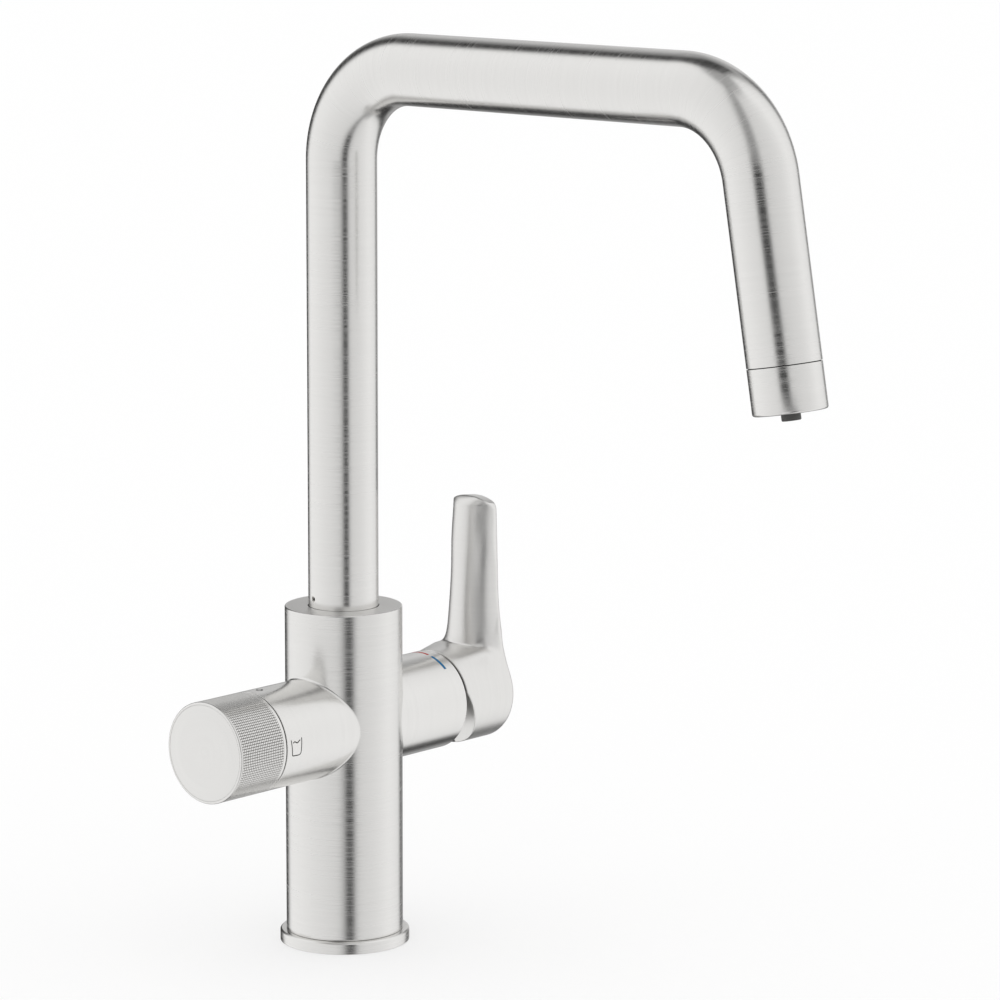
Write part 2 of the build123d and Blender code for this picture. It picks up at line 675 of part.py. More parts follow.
def cartridge_housing():
    """Plastic cup that holds the discs and the carrier."""
    low = BORE_FLOOR + 2 * FACE + MIXER_SEAL_H
    cup = tube(CARTRIDGE_D / 2, 0, low, CARTRIDGE_FRONT)
    cup -= tube(CARTRIDGE_CAVITY_D / 2, 0, CARTRIDGE_BASE, CARTRIDGE_FRONT - CARTRIDGE_NECK)
    cup -= tube(CARRIER_D / 2 + RUN, 0, CARTRIDGE_BASE, CARTRIDGE_FRONT)
    return on_lever_arm(with_ports(cup, low, CARTRIDGE_BASE))


def moving_disc_start():
    """The moving disc's sliding face."""
    return CARTRIDGE_BASE + 2 * FACE + FIXED_DISC_H


def carrier_start():
    """The carrier's face against the moving disc."""
    return moving_disc_start() + MOVING_DISC_H + 2 * FACE


def cartridge_fixed_disc():
    """Ceramic disc that stays still in the cartridge."""
    low = CARTRIDGE_BASE + FACE
    disc = tube(CARTRIDGE_CAVITY_D / 2 - SEAT, 0, low, low + FIXED_DISC_H)
    return on_lever_arm(with_ports(disc, low, low + FIXED_DISC_H))


def cartridge_moving_disc():
    """Ceramic disc that the spindle's tip slides and turns."""
    low = moving_disc_start()
    disc = tube(MOVING_DISC_D / 2, 0, low, low + MOVING_DISC_H)
    return on_lever_arm(disc - tube(SOCKET_D / 2, 0, low + SOCKET_FLOOR, low + MOVING_DISC_H))


def cartridge_carrier():
    """Rotor that turns with the lever and holds the spindle's pivot."""
    low = carrier_start()
    rotor = tube(CARRIER_D / 2, 0, low, CARRIER_END)
    rotor += tube(CARRIER_FLANGE_D / 2, 0, low, CARTRIDGE_FRONT - CARTRIDGE_NECK - 2 * FACE)
    slot = Box(CARRIER_SLOT_H, CARRIER_SLOT, CARRIER_END, align=(Align.CENTER, Align.CENTER, Align.MIN))
    rotor -= Pos(0, 0, low) * slot
    return on_lever_arm(rotor) - along_y(PIVOT_D / 2 + SEAT, -CARRIER_D, CARRIER_D, PIVOT_X, ARM_Z)


def pivot_pin():
    """Cross pin that the spindle tilts on."""
    return along_y(PIVOT_D / 2, -PIVOT_LEN / 2, PIVOT_LEN / 2, PIVOT_X, ARM_Z)


def cartridge_nut():
    """Threaded ring that holds the cartridge in the arm, with four key slots."""
    low = CARTRIDGE_FRONT + FACE
    nut = tube(NUT_D / 2, NUT_BORE / 2, low, low + NUT_H)
    key = Box(NUT_D, KEY_W, KEY_DEPTH, align=(Align.CENTER, Align.CENTER, Align.MAX))
    for turn in (45, 135):
        nut -= Pos(0, 0, low + NUT_H) * Rot(0, 0, turn) * key
    return on_lever_arm(nut)


def lever_spindle():
    """Square spindle with a ball tip in the moving disc."""
    stem = Box(STEM, STEM, STEM_END - STEM_START, align=(Align.CENTER, Align.CENTER, Align.MIN))
    spindle = Pos(0, 0, STEM_START) * stem
    spindle += tube(TIP_NECK_D / 2, 0, TIP_X, STEM_START)
    spindle += Pos(0, 0, TIP_X) * Sphere(TIP_D / 2)
    return on_lever_arm(spindle) - along_y(PIVOT_D / 2 + RUN, -STEM, STEM, PIVOT_X, ARM_Z)


# Lever


def neck_points():
    """Where the hollow neck leaves the paddle's side and meets the hub's circle."""
    lean = radians(PADDLE_TAPER)
    normal = (cos(lean), sin(lean))
    up = (-sin(lean), cos(lean))
    line = PADDLE_HALF_TOP * normal[0] + LEVER_SHOULDER * normal[1]
    out = line + NECK_R - ARM_Z * normal[1]
    along = sqrt((HUB_R + NECK_R) ** 2 - out ** 2)
    centre = (out * normal[0] + along * up[0], ARM_Z + out * normal[1] + along * up[1])
    on_side = (centre[0] - NECK_R * normal[0], centre[1] - NECK_R * normal[1])
    share = HUB_R / (HUB_R + NECK_R)
    on_hub = (centre[0] * share, ARM_Z + (centre[1] - ARM_Z) * share)
    return centre, on_side, on_hub


def neck_at(height):
    """Half the neck's width at a height between hub and paddle."""
    centre = neck_points()[0]
    return centre[0] - sqrt(NECK_R ** 2 - (height - centre[1]) ** 2)


def mirrored(point):
    """The same point on the other side of the lever's middle."""
    return (-point[0], point[1])


def lever_outline():
    """The lever seen from its outer face: hub, neck and paddle."""
    centre, on_side, on_hub = neck_points()
    middle_z = (on_side[1] + on_hub[1]) / 2
    middle = (neck_at(middle_z), middle_z)
    shoulder = (PADDLE_HALF_TOP, LEVER_SHOULDER)
    outline = [
        ThreePointArc(on_hub, (0, ARM_Z - HUB_R), mirrored(on_hub)),
        ThreePointArc(mirrored(on_hub), mirrored(middle), mirrored(on_side)),
        Line(mirrored(on_side), mirrored(shoulder)),
        ThreePointArc(mirrored(shoulder), (0, LEVER_TOP), shoulder),
        Line(shoulder, on_side),
        ThreePointArc(on_side, middle, on_hub),
    ]
    face = make_face(outline)
    corners = [v for v in face.vertices() if abs(v.Y - LEVER_SHOULDER) < NEAR]
    return fillet(corners, TIP_CORNER)


def hub_section(neck, low_shoulder, high_shoulder):
    """A hub section with its upper half drawn out to two shoulders."""
    on_hub = neck_points()[2]
    top = (0, ARM_Z + HUB_R)
    side_middle, side_end = neck
    corner_middle, corner_end = low_shoulder, high_shoulder
    return make_face([
        ThreePointArc(on_hub, (0, ARM_Z - HUB_R), mirrored(on_hub)),
        ThreePointArc(mirrored(on_hub), mirrored(side_middle), mirrored(side_end)),
        ThreePointArc(mirrored(side_end), mirrored(corner_middle), mirrored(corner_end)),
        ThreePointArc(mirrored(corner_end), top, corner_end),
        ThreePointArc(corner_end, corner_middle, side_end),
        ThreePointArc(side_end, side_middle, on_hub),
    ])


def on_hub_circle(angle):
    """A point on the hub's circle, by degrees from its top."""
    return (HUB_R * sin(radians(angle)), ARM_Z + HUB_R * cos(radians(angle)))


def hub():
    """Round at the arm, drawn out to the neck's outline under the paddle."""
    neck_y, neck_z = neck_points()[2]
    start_angle = atan2(neck_y, neck_z - ARM_Z) * 180 / pi
    side_split, middle_split, top_split = ROUND_SPLITS
    round_section = hub_section(
        (on_hub_circle((start_angle + side_split) / 2), on_hub_circle(side_split)),
        on_hub_circle(middle_split),
        on_hub_circle(top_split),
    )
    top = ARM_Z + HUB_R
    side_z = top - SHOULDER_R
    side_y = neck_at(side_z)
    corner = [(side_y - SHOULDER_R * across, top - SHOULDER_R * down) for across, down in SHOULDER_ARC]
    blend_z = side_z - SHOULDER_BLEND
    drawn_section = hub_section(((neck_at(blend_z), blend_z), (side_y, side_z)), *corner)
    solid = extrude(Plane.YZ.offset(LEVER_START) * round_section, HUB_CIRCLE_X - LEVER_START)
    morph = [Plane.YZ.offset(HUB_CIRCLE_X) * round_section, Plane.YZ.offset(HUB_SHOULDER_X) * drawn_section]
    solid += loft(morph)
    reach = LEVER_FACE - LEVER_EDGE - HUB_SHOULDER_X
    return solid + extrude(Plane.YZ.offset(HUB_SHOULDER_X) * drawn_section, reach)


def inner_section(height, crown, crease):
    """A level section of the space the paddle fills, rounded towards the spout."""
    on_side = neck_points()[1]
    half = neck_at(height) if height < on_side[1] else PADDLE_HALF_TOP + 1
    foot = half > FOOT_HALF
    half = min(half, FOOT_HALF)
    depth = crease - crown
    radius = (half ** 2 + depth ** 2) / (2 * depth)
    angle = asin(min(half / radius, 1.0)) + radians(0 if foot else CREASE_PAST)
    end_x = crown + radius * (1 - cos(angle))
    end_y = radius * sin(angle)
    back = LEVER_FACE + LEVER_EDGE
    back_y = end_y + FOOT_FLARE
    return Plane.XY.offset(height) * make_face([
        ThreePointArc((end_x, end_y), (crown, 0), (end_x, -end_y)),
        Line((end_x, -end_y), (back, -back_y)),
        Line((back, -back_y), (back, back_y)),
        Line((back, back_y), (end_x, end_y)),
    ])


def roll_levels():
    """Levels of the tip, where the inner face leans back along a circle."""
    turns = [radians(turn) for turn in ROLL_TURNS]
    return tuple(
        (ROLL_Z + TIP_ROLL * sin(turn), ROLL_X - TIP_ROLL * cos(turn), ROLL_CREASE)
        for turn in turns
    )


def above_tip():
    """The cutter over the tip: an arch that falls away towards the outer face."""
    rise = LEVER_TOP - LEVER_SHOULDER
    tip_r = (PADDLE_HALF_TOP ** 2 + rise ** 2) / (2 * rise)
    arch = Rot(0, 90, 0) * Cylinder(tip_r, 2 * REACH)
    above = Box(REACH, REACH, REACH, align=(Align.CENTER, Align.CENTER, Align.MIN))
    return Pos(SLOPE_X, 0, LEVER_TOP - tip_r) * Rot(0, TIP_SLOPE, 0) * (above - arch)


def paddle():
    """The upright blade, rounded on its inner side, with its outer edge softened."""
    depth = LEVER_FACE - HUB_CIRCLE_X
    plate = extrude(Plane.YZ.offset(HUB_CIRCLE_X) * lever_outline(), depth)
    rim = [e for e in plate.edges() if abs(e.center().X - LEVER_FACE) < NEAR]
    plate = fillet(rim, LEVER_EDGE) - above_tip()
    space = loft([inner_section(*level) for level in PADDLE_LEVELS])
    low, _, low_crease = PADDLE_LEVELS[0]
    below = Box(REACH, REACH, low, align=(Align.MIN, Align.CENTER, Align.MIN))
    space += Pos(low_crease, 0, 0) * below
    tip = loft([inner_section(*level) for level in roll_levels()])
    tip += Box(2 * REACH, REACH, ROLL_Z, align=(Align.MIN, Align.CENTER, Align.MIN))
    return plate & space & tip


def lever():
    """Hollow hub and paddle, with a boss for the spindle."""
    solid = hub() + paddle()
    wedge = Box(REACH, REACH, REACH, align=(Align.MAX, Align.CENTER, Align.MAX))
    solid -= Pos(LEVER_START, 0, FACET_Z) * Rot(0, -FACET_LEAN, 0) * wedge
    solid -= on_lever_arm(tube(LEVER_BORE / 2, BOSS_D / 2, LEVER_START, LEVER_BORE_END))
    solid -= on_lever_arm(tube(BOSS_D / 2, 0, LEVER_START, BOSS_START))
    side = STEM + 2 * SOCKET_SLACK
    socket = Box(side, side, STEM_END + SOCKET_SLACK - BOSS_START,
                 align=(Align.CENTER, Align.CENTER, Align.MIN))
    solid -= on_lever_arm(Pos(0, 0, BOSS_START) * socket)
    solid -= Pos(GRUB_X, 0, 0) * tube(GRUB_D / 2, 0, ARM_Z - LEVER_BORE / 2, ARM_Z)
    return solid - Pos(GRUB_X, 0, 0) * tube(PLUG_D / 2, 0, 0, ARM_Z - LEVER_BORE / 2 + 1)


def lever_grub_screw():
    """Grub screw that clamps the lever to its spindle, from below."""
    top = ARM_Z - STEM / 2 - FACE
    screw = tube(GRUB_D / 2 - SEAT, 0, top - GRUB_LEN, top)
    return Pos(GRUB_X, 0, 0) * (screw - Pos(0, 0, top - GRUB_LEN) * hexagon(GRUB_AF, SOCKET_DEEP))


def lever_plug():
    """Small plug that hides the grub screw."""
    low = ARM_Z - HUB_R + PLUG_SINK
    return Pos(GRUB_X, 0, 0) * tube(PLUG_D / 2 - SEAT, 0, low, low + PLUG_H)


NODES = {
    "base_ring": base_ring,
    "base_gasket": base_gasket,
    "body_casting": body_casting,
    "spout_slide_ring": spout_slide_ring,
    "spout_stop_screw": spout_stop_screw,
    "spout_tube": spout_tube,
    "swivel_insert": swivel_insert,
    "swivel_orings": swivel_orings,
    "spout_clamp_screw": spout_clamp_screw,
    "filter_hose": filter_hose,
    "hose_oring": hose_oring,
    "outlet_adapter": outlet_adapter,
    "aerator_sleeve": aerator_sleeve,
    "aerator_gasket": aerator_gasket,
    "aerator_insert": aerator_insert,
    "filter_nozzle": filter_nozzle,
    "filter_seal": filter_seal,
    "filter_fixed_disc": lambda: valve_disc(DISC_D / 2, FIXED_DISC, 0),
    "filter_moving_disc": lambda: valve_disc(DISC_D / 2 - FREE, MOVING_DISC, 90),
    "filter_headpart": filter_headpart,
    "filter_spindle": filter_spindle,
    "spindle_oring": spindle_oring,
    "spindle_clip": spindle_clip,
    "knob_guide_ring": knob_guide_ring,
    "filter_knob": filter_knob,
    "knob_cap": knob_cap,
    "knob_screw": knob_screw,
    "cartridge_seal": cartridge_seal,
    "cartridge_housing": cartridge_housing,
    "cartridge_fixed_disc": cartridge_fixed_disc,
    "cartridge_moving_disc": cartridge_moving_disc,
    "cartridge_carrier": cartridge_carrier,
    "cartridge_nut": cartridge_nut,
    "pivot_pin": pivot_pin,
    "lever_spindle": lever_spindle,
    "lever": lever,
    "lever_grub_screw": lever_grub_screw,
    "lever_plug": lever_plug,
}


def main():
    """Build every piece and write it under its own name."""
    os.makedirs("parts", exist_ok=True)
    for name, make in NODES.items():
        made = make()
        if isinstance(made, list):
            made = Compound(children=made)
        export_step(made, f"parts/{name}.step")
        print(name, "solids", len(made.solids()), "volume", round(made.volume, 1))


if __name__ == "__main__":
    main()
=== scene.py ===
"""A kitchen tap with a second, filtered water way: its visible pieces, finishes and studio."""

import json
import logging
import math
from contextlib import contextmanager
from dataclasses import dataclass
from enum import Enum
from typing import Any, Callable, Iterator, Sequence

import bmesh
import bpy
from mathutils import Matrix, Vector

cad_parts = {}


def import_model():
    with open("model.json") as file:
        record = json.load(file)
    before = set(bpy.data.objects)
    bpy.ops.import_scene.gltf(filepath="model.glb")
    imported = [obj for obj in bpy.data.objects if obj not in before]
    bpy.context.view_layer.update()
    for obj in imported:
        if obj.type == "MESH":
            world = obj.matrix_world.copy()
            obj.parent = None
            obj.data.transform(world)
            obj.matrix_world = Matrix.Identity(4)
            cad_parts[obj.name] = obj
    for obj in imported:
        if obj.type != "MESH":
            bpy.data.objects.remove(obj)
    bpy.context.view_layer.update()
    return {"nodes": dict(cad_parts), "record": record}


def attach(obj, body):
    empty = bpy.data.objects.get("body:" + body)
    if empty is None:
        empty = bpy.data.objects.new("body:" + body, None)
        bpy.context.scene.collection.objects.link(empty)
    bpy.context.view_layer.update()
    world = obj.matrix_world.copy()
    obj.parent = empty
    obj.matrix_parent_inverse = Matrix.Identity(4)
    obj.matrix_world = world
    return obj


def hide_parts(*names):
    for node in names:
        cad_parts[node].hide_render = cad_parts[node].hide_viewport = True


log = logging.getLogger("tap")

MM = 0.001
AROUND = 240           # sides of a turned piece
BRUSHING = "brushing"  # UV map: turns round the piece, and metres along it

Point = tuple[float, float]


class Body(Enum):
    """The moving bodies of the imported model."""

    FIXED = "tap_body"
    SPOUT = "spout"
    KNOB = "filter_knob"
    LEVER = "lever"


class Slot(Enum):
    """The record's material slots."""

    BRUSHED_STEEL = "brushed_stainless"
    PLAIN_STEEL = "plain_stainless"
    BRASS = "turned_brass"
    RUBBER = "black_rubber"
    WHITE_PLASTIC = "white_plastic"
    HOSE = "clear_white_hose"
    DARK_PLASTIC = "dark_plastic"
    CERAMIC = "white_ceramic"


def srgb(code: str) -> tuple[float, float, float, float]:
    """Turn an sRGB hex colour into linear light.

    Args:
        code: Six hexadecimal digits.

    Returns:
        Red, green, blue and alpha.
    """
    channels = [int(code[start:start + 2], 16) / 255 for start in (0, 2, 4)]
    linear = [c / 12.92 if c <= 0.04045 else ((c + 0.055) / 1.055) ** 2.4 for c in channels]
    return (linear[0], linear[1], linear[2], 1.0)


def add_node(tree: bpy.types.NodeTree, kind: str, inputs: dict | None = None, **settings: Any) -> bpy.types.Node:
    """Add a node, set its options, and fill or link its sockets.

    Args:
        tree: The node tree it goes in.
        kind: Blender's name for the node.
        inputs: A value, or a socket to link, for each input by name or number.
        **settings: Options of the node itself.

    Returns:
        The new node.
    """
    node = tree.nodes.new(kind)
    for name, value in settings.items():
        setattr(node, name, value)
    for key, value in (inputs or {}).items():
        if isinstance(value, bpy.types.NodeSocket):
            tree.links.new(value, node.inputs[key])
        else:
            node.inputs[key].default_value = value
    return node


class Axis(Enum):
    """The lines that the round pieces are turned about."""

    COLUMN = "column"
    KNOB_ARM = "knob arm"
    LEVER_ARM = "lever arm"
    OUTLET = "outlet"


@dataclass(frozen=True)
class Layout:
    """Sizes shared by several pieces, in millimetres."""

    arm_z: float = 90.3
    arm_radius: float = 20.15
    spout_radius: float = 14.0
    spout_height: float = 352.5
    spout_reach: float = 202.3
    bend_radius: float = 37.0
    lean: float = 10.0

    @property
    def outlet_way(self) -> Vector:
        """Direction of the water at the outlet."""
        lean = math.radians(self.lean)
        return Vector((0, -math.sin(lean), -math.cos(lean)))

    @property
    def second_bend_start(self) -> float:
        """Y where the level run ends."""
        return -self.spout_reach + self.bend_radius * math.tan(math.radians(90 - self.lean) / 2)

    @property
    def bend_end(self) -> Vector:
        """Centre of the tube at the end of the second bend."""
        corner = Vector((0, -self.spout_reach, self.spout_height))
        return corner + self.outlet_way * (self.second_bend_start + self.spout_reach)

    def place(self, axis: Axis) -> Matrix:
        """Where Z of a piece turned at the origin goes, in metres.

        Args:
            axis: The line that the piece belongs on.

        Returns:
            The placing matrix.
        """
        if axis is Axis.COLUMN:
            return Matrix.Identity(4)
        if axis is Axis.OUTLET:
            turn = Matrix.Rotation(math.radians(180 - self.lean), 4, "X")
            return Matrix.Translation(self.bend_end * MM) @ turn
        quarter = math.radians(-90 if axis is Axis.KNOB_ARM else 90)
        return Matrix.Translation((0, 0, self.arm_z * MM)) @ Matrix.Rotation(quarter, 4, "Y")


LAYOUT = Layout()


def deselect_all() -> None:
    """Leave nothing selected."""
    bpy.ops.object.select_all(action="DESELECT")


def pick(piece: bpy.types.Object) -> None:
    """Make this piece the only selected one, and the active one."""
    deselect_all()
    piece.select_set(True)
    bpy.context.view_layer.objects.active = piece


@contextmanager
def editing(piece: bpy.types.Object) -> Iterator[None]:
    """Work on a piece in edit mode."""
    pick(piece)
    bpy.ops.object.mode_set(mode="EDIT")
    bpy.ops.mesh.select_mode(type="VERT")
    yield
    bpy.ops.object.mode_set(mode="OBJECT")


def select_points(piece: bpy.types.Object, test: Callable[[Vector], bool]) -> None:
    """In edit mode, select the points that pass a test of their place in millimetres."""
    bpy.ops.mesh.select_mode(type="VERT")
    bpy.ops.mesh.select_all(action="DESELECT")
    mesh = bmesh.from_edit_mesh(piece.data)
    for point in mesh.verts:
        point.select_set(test(point.co / MM))
    mesh.select_flush_mode()
    bmesh.update_edit_mesh(piece.data)


def select_faces(piece: bpy.types.Object, test: Callable[[Vector, Vector], bool]) -> None:
    """In edit mode, select the faces that pass a test of their middle in millimetres and their normal."""
    bpy.ops.mesh.select_mode(type="FACE")
    bpy.ops.mesh.select_all(action="DESELECT")
    mesh = bmesh.from_edit_mesh(piece.data)
    for face in mesh.faces:
        face.select_set(test(face.calc_center_median() / MM, face.normal))
    bmesh.update_edit_mesh(piece.data)


def rounded_profile(points: Sequence[Point], radii: dict[int, float], steps: int = 4) -> list[Point]:
    """Round some corners of a turned piece's profile.

    Args:
        points: Radius and height of each corner.
        radii: The rounding of a corner by its number.
        steps: Straight pieces in each rounding.

    Returns:
        The profile with its roundings.
    """
    made: list[Point] = []
    for number, point in enumerate(points):
        radius = radii.get(number, 0)
        if not radius:
            made.append(point)
            continue
        here = Vector(point)
        back = (Vector(points[number - 1]) - here).normalized()
        ahead = (Vector(points[(number + 1) % len(points)]) - here).normalized()
        half = math.acos(max(-1, min(1, back.dot(ahead)))) / 2
        centre = here + (back + ahead).normalized() * radius / math.sin(half)
        start = here + back * radius / math.tan(half) - centre
        end = here + ahead * radius / math.tan(half) - centre
        for step in range(steps + 1):
            share = step / steps
            arm = (start * (1 - share) + end * share).normalized() * radius
            made.append(tuple(centre + arm))
    return made


def turned(name: str, profile: Sequence[Point], axis: Axis, sides: int = AROUND) -> bpy.types.Object:
    """Turn a closed ring, whose profile is given from any corner round to the last.

    Args:
        name: The piece's name.
        profile: Radius and height of each corner, in millimetres.
        axis: The line it is turned about.
        sides: Flats round it.

    Returns:
        The piece, in place.
    """
    deselect_all()
    radius, height = profile[0]
    bpy.ops.mesh.primitive_circle_add(vertices=sides, radius=radius * MM, location=(0, 0, height * MM))
    piece = bpy.context.object
    piece.name = piece.data.name = name
    bpy.ops.object.transform_apply(location=True, rotation=False, scale=False)
    with editing(piece):
        bpy.ops.mesh.select_all(action="SELECT")
        for (last_radius, last_height), (radius, height) in zip(profile, [*profile[1:], profile[0]]):
            rise = (height - last_height) * MM
            bpy.ops.mesh.extrude_region_move(TRANSFORM_OT_translate={"value": (0, 0, rise)})
            grow = radius / last_radius
            bpy.ops.transform.resize(value=(grow, grow, 1), center_override=(0, 0, height * MM))
        bpy.ops.mesh.select_all(action="SELECT")
        bpy.ops.mesh.remove_doubles(threshold=0.001 * MM)
        bpy.ops.mesh.normals_make_consistent(inside=False)
    return placed(piece, axis)


def turned_solid(name: str, profile: Sequence[Point], axis: Axis, sides: int = AROUND) -> bpy.types.Object:
    """Turn a piece with closed ends.

    Args:
        name: The piece's name.
        profile: Radius and height of each corner from one end to the other, in millimetres.
        axis: The line it is turned about.
        sides: Flats round it.

    Returns:
        The piece, in place.
    """
    deselect_all()
    radius, height = profile[0]
    bpy.ops.mesh.primitive_circle_add(vertices=sides, radius=radius * MM, location=(0, 0, height * MM))
    piece = bpy.context.object
    piece.name = piece.data.name = name
    bpy.ops.object.transform_apply(location=True, rotation=False, scale=False)
    with editing(piece):
        bpy.ops.mesh.select_all(action="SELECT")
        for (last_radius, last_height), (radius, height) in zip(profile, profile[1:]):
            rise = (height - last_height) * MM
            bpy.ops.mesh.extrude_region_move(TRANSFORM_OT_translate={"value": (0, 0, rise)})
            grow = radius / last_radius
            bpy.ops.transform.resize(value=(grow, grow, 1), center_override=(0, 0, height * MM))
        for end in (profile[0], profile[-1]):
            select_points(piece, lambda at: (Vector((at.xy.length, at.z)) - Vector(end)).length < 0.01)
            bpy.ops.mesh.edge_face_add()
        bpy.ops.mesh.select_all(action="SELECT")
        bpy.ops.mesh.normals_make_consistent(inside=False)
    return placed(piece, axis)


def placed(piece: bpy.types.Object, axis: Axis) -> bpy.types.Object:
    """Lay a turned piece along its line, with its place in its mesh."""
    pick(piece)
    piece.matrix_world = LAYOUT.place(axis)
    bpy.ops.object.transform_apply(location=True, rotation=True, scale=True)
    bpy.ops.object.shade_smooth_by_angle(angle=math.radians(30))
    return piece


def brushed_round(piece: bpy.types.Object, axis: Axis) -> None:
    """Lay the brushing's UV map round a turned piece.

    Args:
        piece: The finished piece.
        axis: The line it was turned about.
    """
    to_axis = LAYOUT.place(axis).inverted()
    mesh = piece.data
    layer = mesh.uv_layers.new(name=BRUSHING)
    for face in mesh.polygons:
        middle = to_axis @ face.center
        facing = math.atan2(middle.y, middle.x)
        for loop in face.loop_indices:
            at = to_axis @ mesh.vertices[mesh.loops[loop].vertex_index].co
            turn = math.atan2(at.y, at.x) - facing
            turn = (turn + math.pi) % math.tau - math.pi + facing
            layer.data[loop].uv = (turn / math.tau, at.z - at.xy.length)


@dataclass(frozen=True)
class BrushedSteel:
    """Stainless steel, brushed round: soft long reflections, crossed by fine rings."""

    name: str = "brushed_stainless_steel"
    colour: str = "e8e7e5"
    roughness: float = 0.2
    spread: float = 0.1      # how much rougher the deepest marks are
    relief: float = 0.035
    anisotropy: float = 0.3
    fine_mm: float = 0.45    # between single brush marks, drawn as coarse as the render needs
    broad_mm: float = 1.5    # between bands of deeper marks
    mark_mm: float = 90.0    # length of a mark round the piece

    def material(self) -> bpy.types.Material:
        """Build the material.

        Returns:
            The finished material.
        """
        made = bpy.data.materials.new(self.name)
        made.use_nodes = True
        tree = made.node_tree
        tree.nodes.clear()
        uv = add_node(tree, "ShaderNodeUVMap", uv_map=BRUSHING)
        parts = add_node(tree, "ShaderNodeSeparateXYZ", {0: uv.outputs[0]})
        angle = add_node(tree, "ShaderNodeMath", {0: parts.outputs[0], 1: math.tau}, operation="MULTIPLY")
        across = add_node(tree, "ShaderNodeMath", {0: angle.outputs[0]}, operation="COSINE")
        over = add_node(tree, "ShaderNodeMath", {0: angle.outputs[0]}, operation="SINE")
        ring = add_node(tree, "ShaderNodeCombineXYZ", {0: across.outputs[0], 1: over.outputs[0], 2: parts.outputs[1]})
        reach = 20.0 / self.mark_mm
        marks = []
        for pitch, detail in ((self.fine_mm, 3.0), (self.broad_mm, 2.0)):
            scaled = add_node(tree, "ShaderNodeMapping", {0: ring.outputs[0], "Scale": (reach, reach, 1 / (pitch * MM))})
            marks.append(add_node(tree, "ShaderNodeTexNoise", {
                "Vector": scaled.outputs[0], "Scale": 1.0, "Detail": detail, "Roughness": 0.6}))
        fine, broad = marks
        both = add_node(tree, "ShaderNodeMix", {0: 0.25, 2: fine.outputs[0], 3: broad.outputs[0]})
        rough = add_node(tree, "ShaderNodeMapRange", {
            0: both.outputs[0], 1: 0.4, 2: 0.64, 3: self.roughness - self.spread / 5,
            4: self.roughness + self.spread * 4 / 5})
        tint = add_node(tree, "ShaderNodeValToRGB", {0: broad.outputs[0]})
        tint.color_ramp.elements[0].position = 0.3
        tint.color_ramp.elements[0].color = [c * 0.975 for c in srgb(self.colour)[:3]] + [1]
        tint.color_ramp.elements[1].position = 0.7
        tint.color_ramp.elements[1].color = srgb(self.colour)
        bump = add_node(tree, "ShaderNodeBump", {
            "Height": fine.outputs[0], "Strength": self.relief, "Distance": 0.02 * MM})
        tangent = add_node(tree, "ShaderNodeTangent", direction_type="UV_MAP", uv_map=BRUSHING)
        shader = add_node(tree, "ShaderNodeBsdfPrincipled", {
            "Base Color": tint.outputs[0], "Metallic": 1.0, "Roughness": rough.outputs[0],
            "Anisotropic": self.anisotropy, "Tangent": tangent.outputs[0], "Normal": bump.outputs[0]})
        add_node(tree, "ShaderNodeOutputMaterial", {0: shader.outputs[0]})
        return made


TUBE_STEEL = BrushedSteel()
ARM_STEEL = BrushedSteel("fine_brushed_stainless_steel", spread=0.05, relief=0.035)
LEVER_STEEL = BrushedSteel("satin_stainless_steel", roughness=0.31, spread=0.05, relief=0.035, anisotropy=0.2)
MATT_STEEL = BrushedSteel("blasted_stainless_steel", roughness=0.42, spread=0.04, relief=0.05, anisotropy=0.0)
# the knurl's groove sides: a darker colour that is painted shade in the grooves, on a rougher steel
PAINTED_GROOVE_SHADE_STEEL = BrushedSteel("tooled_stainless_steel", "bab9b7", 0.32, spread=0.04, relief=0.05, anisotropy=0.0)


def dress(piece: bpy.types.Object, material: bpy.types.Material) -> None:
    """Give a piece one material all over."""
    piece.data.materials.clear()
    piece.data.materials.append(material)


@dataclass(frozen=True)
class Camera:
    """The photograph's viewing angle: a long lens, a little above the body."""

    lens: float = 159.21
    place: tuple[float, float, float] = (-1.26626, -1.18453, 0.48320)
    yaw: float = 48.9734
    pitch: float = -9.9295
    roll: float = 0.1038

    def build(self) -> bpy.types.Object:
        """Set up the camera.

        Returns:
            The camera object.
        """
        data = bpy.data.cameras.new("camera")
        data.lens, data.sensor_width = self.lens, 36.0
        data.clip_start, data.clip_end = 0.05, 100.0
        camera = bpy.data.objects.new("camera", data)
        bpy.context.scene.collection.objects.link(camera)
        yaw, pitch, roll = (math.radians(a) for a in (self.yaw, self.pitch, self.roll))
        ahead = Vector((math.sin(yaw) * math.cos(pitch), math.cos(yaw) * math.cos(pitch), math.sin(pitch)))
        right = Vector((math.cos(yaw), -math.sin(yaw), 0))
        up = right.cross(ahead)
        tilted_right = right * math.cos(roll) + up * math.sin(roll)
        tilted_up = up * math.cos(roll) - right * math.sin(roll)
        turn = Matrix((tilted_right, tilted_up, -ahead)).transposed().to_4x4()
        camera.matrix_world = Matrix.Translation(self.place) @ turn
        bpy.context.scene.camera = camera
        return camera


@dataclass(frozen=True)
class Screen:
    """A soft-edged patch of the studio's surroundings.

    Azimuths are degrees to the right of the camera, seen from the object, and elevations degrees above level.
    """

    azimuths: Point
    elevations: Point
    level: float
    soft: float = 4.0      # half the width of its edges
    fade: float = 5.0      # and of its top and bottom


